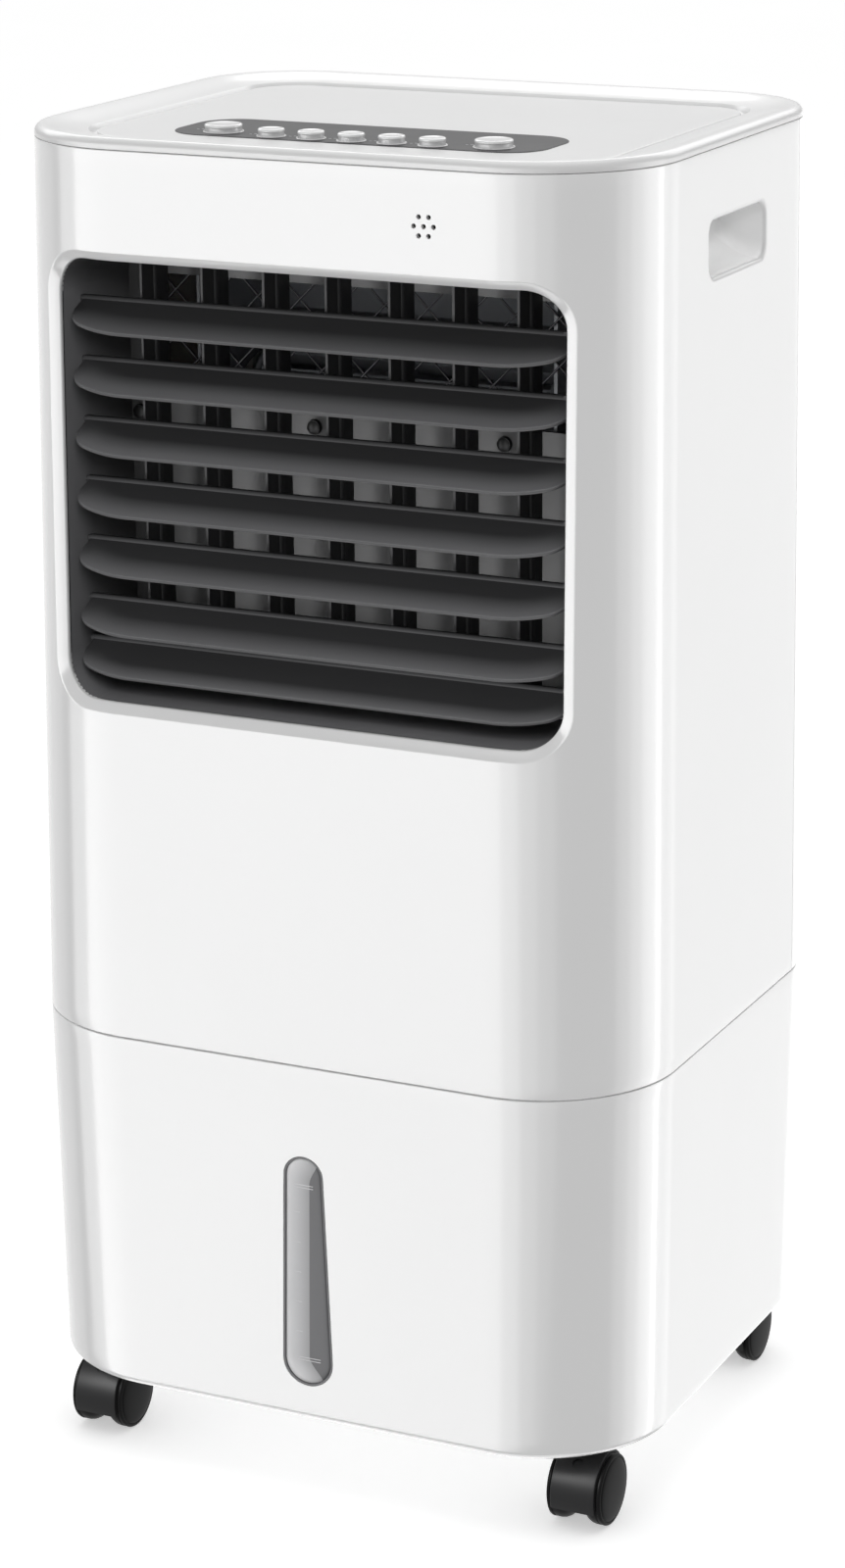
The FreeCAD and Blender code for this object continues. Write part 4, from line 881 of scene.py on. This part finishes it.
# ---- gauge
def make_gauge():
    """Dark grey rim, painted as the shade of the recess wall, round a slightly domed pane, with raised
    level lines.
    """
    def ring(inset, depth):
        return [Vector((x, surface_y(x, z, depth), z)) for x, z in level_loop(inset)]

    # Painted shade: the rim and wall of the recess round the pane are dark grey.
    recess_shade_rings = [(0.1 * MM, 0.25 * MM), (0.35 * MM, 0.05 * MM), (1.3 * MM, 0.15 * MM), (1.6 * MM, 0.9 * MM),
            (1.6 * MM, 4.0 * MM), (0.1 * MM, 4.0 * MM)]
    make_piece("gauge_recess_shade", *stitch([ring(*s) for s in recess_shade_rings], wrap=True),
               RECESS_SHADE, "casing", "smoke_window", sharp=40)
    pane = [(1.65 * MM, 3.6 * MM), (1.65 * MM, 1.1 * MM), (2.1 * MM, 0.75 * MM), (3.2 * MM, 0.5 * MM),
            (5.0 * MM, 0.32 * MM), (8.0 * MM, 0.25 * MM)]
    make_piece("gauge_pane", *stitch([ring(*s) for s in pane], caps=True),
               GAUGE, "casing", "smoke_window", sharp=40, replaces="level_window")
    bars = []
    for top, middle, half in ((FULL_Z, FULL_X, FULL_HALF), (EMPTY_Z, EMPTY_X, EMPTY_HALF)):
        bars += [(middle - half, middle + half, z, LINE_HALF) for z in (top, top - LINE_PITCH)]
    bars += [(*TICK_X, TICK_Z + k * TICK_PITCH, TICK_HALF) for k in range(TICK_COUNT)]
    verts, faces = [], []
    for x0, x1, z, half in bars:
        loop = rectangle(x0, x1, z - half, z + half)
        depths = (0.6 * MM, 0.12 * MM)
        add_block(verts, faces, *[[(x, surface_y(x, z, depth), z) for x, z in loop] for depth in depths])
    make_piece("gauge_lines", verts, faces, LINE, "casing", "smoke_window", sharp=30)


# ---- casters
def make_hood(name, centre, hood_r, web_r):
    """Half-barrel hood with a dimple, and the web under it between the wheels."""
    start, end = HOOD_ENDS
    steps = 72
    angles = [radians(start + (end - start) * k / steps) for k in range(steps + 1)]
    inner, shoulder, bend = hood_r - HOOD_T, hood_r - 0.5 * MM, hood_r - 0.1 * MM
    half_section = [(inner, HOOD_HALF), (shoulder, HOOD_HALF), (bend, HOOD_HALF - 0.4 * MM),
                    (hood_r, HOOD_HALF - 1.2 * MM)]
    section = [(r, -h) for r, h in half_section] + half_section[::-1]
    rings = [[centre + Vector((h, r * cos(a), r * sin(a))) for r, h in section] for a in angles]
    body = "caster_hood_" + name
    hood = make_piece("caster_shell_" + name, *stitch(rings, caps=True), BLACK, body, "black_gloss",
                      sharp=45, replaces=body)
    lean = radians(34.0)
    side = Vector((1, 0, 0))
    toward = Vector((0, copysign(sin(lean), centre.y), cos(lean)))
    upward = toward.cross(side)
    dimple = centre + toward * hood_r
    loops = [[dimple + toward * depth + (side * cos(t) + upward * sin(t)) * DIMPLE_R
              for t in turns_of(24)] for depth in (-1.2 * MM, 5 * MM)]
    cut(hood, [cutter_from(loops)])
    sides = [[centre + Vector((h, web_r * cos(a), web_r * sin(a))) for a in angles]
             for h in (-WEB_HALF, WEB_HALF)]
    make_piece("caster_web_" + name, *stitch(sides, caps=True), BLACK, body, "black_gloss", sharp=45)


def make_stem(name, centre, hood_r):
    """Boss between the hood and the casing, with the pin that goes into its socket."""
    x, y = swivel_of(name)
    foot = centre.z + sqrt((hood_r - 1.0 * MM) ** 2 - (y - centre.y) ** 2) - 5.0 * MM
    shoulder, spigot_top = BASE_Z - 0.6 * MM, BASE_Z + 16.0 * MM
    profile = [(TIP, foot), (STEM_R, foot), (STEM_R, BASE_Z - 1.2 * MM), (STEM_R - 0.6 * MM, shoulder),
               (SPIGOT_R, shoulder), (SPIGOT_R, spigot_top - 0.6 * MM), (SPIGOT_R - 0.6 * MM, spigot_top),
               (TIP, spigot_top)]
    make_piece("caster_stem_" + name, *stitch(lathe(profile, (x, y, 0), "Z", 40), caps=True),
               BLACK, "caster_hood_" + name, "black_gloss", sharp=45)


def make_wheel(name, label, side, centre, wheel_r):
    """Wheel with a rounded inner corner, a groove near its rim and a domed outer disc."""
    corner = [(8.0, 3.8), (5.6, 4.3), (3.4, 5.4), (1.6, 7.1), (0.5, 9.2), (0.1, 11.2), (0.1, 13.4)]
    groove = [(0.7, 14.1), (0.7, 14.6), (0.1, 15.0), (0.0, 15.8)]
    rim = [(0.3, 16.6), (1.0, 17.0), (1.9, 17.0), (2.2, 16.7), (2.5, 16.9)]
    profile = [(TIP, 3.8 * MM)]
    profile += [(wheel_r - drop * MM, reach * MM) for drop, reach in corner + groove + rim]
    disc_r, dome = wheel_r - 2.5 * MM, 1.7 * MM
    for k in range(1, 9):
        t = k / 8 * pi / 2
        profile.append((disc_r * cos(t) + TIP, 16.9 * MM + dome * sin(t)))
    rings = lathe([(r, side * reach) for r, reach in profile], centre, "X", 72)
    return make_piece("caster_wheel_%s_%s" % (name, label), *stitch(rings, caps=True), DISC,
                      "caster_wheels_" + name, "black_tread", sharp=40)


def make_caster(name):
    """Hood, stem and twin wheels."""
    centre = caster_centre(name)
    wheel_r = centre.z
    hood_r = wheel_r + 1.9 * MM
    make_hood(name, centre, hood_r, wheel_r + 0.9 * MM)
    make_stem(name, centre, hood_r)
    make_wheel(name, "a", -1, centre, wheel_r)
    wheel = make_wheel(name, "b", 1, centre, wheel_r)
    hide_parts("caster_wheels_" + name)


# ---- net, blades and studs
def make_filter_net():
    """Fine dust net behind the bars of the rear grille."""
    lo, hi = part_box("filter_frame")
    y = lo.y + 1.2 * MM
    x0, x1, z0, z1 = lo.x + 8 * MM, hi.x - 8 * MM, lo.z + 8 * MM, hi.z - 8 * MM
    pitch, half = 3.2 * MM, 0.16 * MM
    verts, faces = [], []

    def strand(xa, xb, za, zb, ya, yb):
        near, far = [[(x, yy, z) for x, z in rectangle(xa, xb, za, zb)] for yy in (ya, yb)]
        add_block(verts, faces, near, far)

    for k in range(int((x1 - x0) / pitch) + 1):
        x = x0 + k * pitch
        strand(x - half, x + half, z0, z1, y, y + 2 * half)
    for k in range(int((z1 - z0) / pitch) + 1):
        z = z0 + k * pitch
        strand(x0, x1, z - half, z + half, y - 2 * half, y)
    make_piece("dust_net", verts, faces, NET, "filter_frame", "filter_white", sharp=30)


def softened_copy(name, node, width, material):
    """Copy of a CAD node with rounded edges, which stands in for the node."""
    builder = bmesh.new()
    builder.from_mesh(NODES[node].data)
    builder.transform(NODES[node].matrix_world)
    bmesh.ops.remove_doubles(builder, verts=builder.verts, dist=1e-6)
    flat, corner = radians(1.0), radians(55)
    bmesh.ops.dissolve_limit(builder, angle_limit=flat, verts=builder.verts, edges=builder.edges)
    edges = [edge for edge in builder.edges
             if len(edge.link_faces) == 2 and edge.calc_face_angle() > corner]
    bmesh.ops.bevel(builder, geom=edges, offset=width, segments=3, profile=0.5, affect="EDGES",
                    clamp_overlap=True)
    bmesh.ops.triangulate(builder, faces=[face for face in builder.faces if len(face.verts) > 4])
    bmesh.ops.recalc_face_normals(builder, faces=builder.faces)
    mesh = bpy.data.meshes.new(name)
    builder.to_mesh(mesh)
    builder.free()
    piece = bpy.data.objects.new(name, mesh)
    SCENE.collection.objects.link(piece)
    mesh.materials.append(material)
    smooth(mesh, 40.0)
    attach(piece, node)
    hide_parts(node)


def make_outlet_blades():
    """The louvers and, behind them, the vanes."""
    for k in range(1, 8):
        softened_copy("louver_blade_%d" % k, "louver_%d" % k, 0.75 * MM, BLADE)
        softened_copy("vane_blade_%d" % k, "vane_%d" % k, 0.4 * MM, VANE)


def make_stud_caps():
    """Shiny black heads over the three studs of the plate under the outlet chamber."""
    y = low("outlet_plate").y
    profile = [(4.5 * MM, y + 3.0 * MM), (4.5 * MM, y + 0.9 * MM), (4.2 * MM, y + 0.2 * MM),
               (3.6 * MM, y - 0.2 * MM), (2.0 * MM, y - 0.7 * MM), (TIP, y - 0.8 * MM)]
    for k, x in enumerate(STUD_X, start=1):
        make_piece("stud_cap_%d" % k, *stitch(lathe(profile, (x, 0, STUD_Z), "Y", 40), caps=True),
                   BLACK, "casing", "charcoal", sharp=50)


def paint_nodes():
    """Better materials for the CAD nodes that stay visible."""
    paints = {"control_board": BOARD, "buzzer": TREAD, "grille_frame": CHARCOAL, "louver_link": BLADE,
              "vane_link": VANE, "swing_motor": STEEL, "swing_crank": RING, "outlet_plate": PLATE,
              "wire_guard": WIRE, "blower_housing": FAN, "blower_wheel": FAN, "fan_motor": STEEL,
              "divider_shelf": FAN, "pad_frame": FILTER, "cooling_pad": PAPER, "water_tray": FILTER,
              "pump": TREAD, "pump_hose": SOFT, "water_tank": TANK, "tank_latch": WHITE,
              "filter_frame": FILTER, "rear_screws": SCREW, "cord_gland": TREAD, "caster_sockets": TREAD}
    for node, material in paints.items():
        for place in NODES[node].material_slots:
            place.material = material


paint_nodes()
make_front_housing()
make_outlet_bevel()
make_rear_cover()
make_lower_housing()
make_top_cover()
make_panel()
make_buttons()
make_panel_marks()
make_gauge()
for caster in CASTER_NAMES:
    make_caster(caster)
make_filter_net()
make_stud_caps()
make_outlet_blades()


# ---- studio
FLOOR_HALF = 40.0
SOFTBOX_DISTANCE = 3.0
SOFTBOX_LOW = -2.2


def make_floor():
    """Pale floor that glows a little, so it stays white; reflections and bounced light pass through."""
    corners = [(x * FLOOR_HALF, y * FLOOR_HALF, 0) for x, y in ((-1, -1), (1, -1), (1, 1), (-1, 1))]
    mesh = bpy.data.meshes.new("floor")
    mesh.from_pydata(corners, [], [(0, 1, 2, 3)])
    floor = bpy.data.objects.new("floor", mesh)
    SCENE.collection.objects.link(floor)
    material, tree, shader, place = new_material("floor_white")
    cloud = add_noise(tree, place, 2.0, 3.0)
    tint = add_mix(tree, cloud, (0.88, 0.88, 0.88), (0.90, 0.90, 0.90))
    tree.links.new(tint, shader.inputs["Base Color"])
    shader.inputs["Roughness"].default_value = 0.9
    shader.inputs["Specular IOR Level"].default_value = 0.0
    shader.inputs["Emission Color"].default_value = (1.0, 1.0, 1.0, 1.0)
    shader.inputs["Emission Strength"].default_value = 0.46
    mesh.materials.append(material)
    floor.visible_diffuse = False
    floor.visible_glossy = False


def new_panel(name, width, height, radiance, location, outward):
    """Evenly bright rectangle, unseen by the camera, which shines against its outward direction."""
    data = bpy.data.lights.new(name, "AREA")
    data.shape = "RECTANGLE"
    data.size, data.size_y = width, height
    data.energy = radiance * pi * width * height
    light = bpy.data.objects.new(name, data)
    SCENE.collection.objects.link(light)
    light.location = location
    light.rotation_euler = (-outward).to_track_quat("-Z", "Y").to_euler()
    light.visible_camera = False
    return light


def make_softbox(name, from_azimuth, to_azimuth, low_z, high_z, radiance):
    """Upright panel between two azimuths and two heights, seen in reflections only."""
    outward = direction((from_azimuth + to_azimuth) / 2, 0)
    width = 2 * SOFTBOX_DISTANCE * tan(radians(to_azimuth - from_azimuth) / 2)
    place = outward * SOFTBOX_DISTANCE + Vector((0, 0, (low_z + high_z) / 2))
    light = new_panel(name, width, high_z - low_z, radiance, place, outward)
    light.visible_diffuse = False
    light.visible_transmission = False
    link_lamp(light, caster_pieces() + louver_pieces(), "EXCLUDE")


def link_lamp(lamp, pieces, state):
    """Lets a lamp light only the named pieces (INCLUDE) or everything but them (EXCLUDE)."""
    group = bpy.data.collections.new(lamp.name + "_group")
    for piece in pieces:
        group.objects.link(piece)
    for item in group.collection_objects:
        item.light_linking.link_state = state
    lamp.light_linking.receiver_collection = group


def caster_pieces():
    return [piece for piece in SCENE.objects if piece.name.startswith("caster_") and piece.type == "MESH"]


def louver_pieces():
    return [bpy.data.objects["louver_blade_%d" % k] for k in range(1, 8)]


def make_lamp(name, pieces, target, azimuth, rise, distance, size, radiance, glossy=False):
    """Soft lamp that lights only some pieces, from an azimuth and a rise in degrees."""
    outward = direction(azimuth, rise)
    lamp = new_panel(name, *size, radiance, target + outward * distance, outward)
    lamp.visible_glossy = glossy
    link_lamp(lamp, pieces, "INCLUDE")


def make_piece_lamps():
    """Lamps that bring out the dark mouldings and the recesses, which the other lights leave flat."""
    louvers = louver_pieces()
    vanes = [bpy.data.objects["vane_blade_%d" % k] for k in range(1, 8)]
    outlet = Vector((0.0, OUTLET_Y, (OUTLET_LOW[1] + OUTLET_HIGH[1]) / 2))
    chamber = louvers + vanes + [NODES["outlet_plate"], NODES["louver_link"]]
    make_lamp("outlet_high", chamber, outlet, 0, 74, 1.6, (1.6, 0.9), 18.0)
    make_lamp("outlet_low", louvers, outlet, 0, -LOUVER_TILT, 1.4, (0.8, 0.6), 44.0)
    make_lamp("liner", [NODES["grille_frame"]], outlet, 22, 32, 1.6, (0.8, 0.8), 26.0)
    cups = [bpy.data.objects["handle_cup_right"], bpy.data.objects["handle_cup_left"]]
    for side in (-1, 1):
        recess = Vector((side * HANDLE_AIM[0], 0.0, HANDLE_AIM[1]))
        make_lamp("handle", cups, recess, side * 76, 38, 1.3, (0.5, 0.5), 7.0)
    make_lamp("caster", caster_pieces(), Vector(), -25, 34, 2.2, (0.9, 0.9), 12.0, glossy=True)


def make_studio():
    """White surroundings, panels for the reflections and lamps for single groups of pieces."""
    world = bpy.data.worlds.new("studio")
    world.use_nodes = True
    background = world.node_tree.nodes["Background"]
    background.inputs["Color"].default_value = (1.0, 1.0, 1.0, 1.0)
    background.inputs["Strength"].default_value = 0.6
    SCENE.world = world
    SCENE.view_settings.view_transform = "Standard"
    make_floor()
    for start, edge, radiance in ((-80, 34, 1.0), (-80, 20, 1.1), (-62, 6, 1.7), (-62, -8, 1.7)):
        make_softbox("front_%d" % edge, start, edge, SOFTBOX_LOW, 1.6, radiance)
    for edge in (82, 94, 106):
        make_softbox("right_%d" % edge, edge, 128, SOFTBOX_LOW, 1.6, 1.3)
    make_softbox("right_back", 122, 150, SOFTBOX_LOW, 0.9, 2.2)
    make_softbox("back", 150, 192, SOFTBOX_LOW, 0.7, 1.2)
    make_softbox("left_back", -165, -90, SOFTBOX_LOW, 0.7, 0.5)
    make_softbox("high_back", 150, 262, 1.95, 4.2, 2.4)
    up = Vector((0, 0, 1))
    new_panel("top", 2.5, 2.5, 1.1, up * 3.0, up)
    under = new_panel("under", 3.6, 3.6, 2.4, up * -2.5, -up)
    under.visible_diffuse = False
    link_lamp(under, caster_pieces(), "EXCLUDE")
    make_piece_lamps()


make_studio()
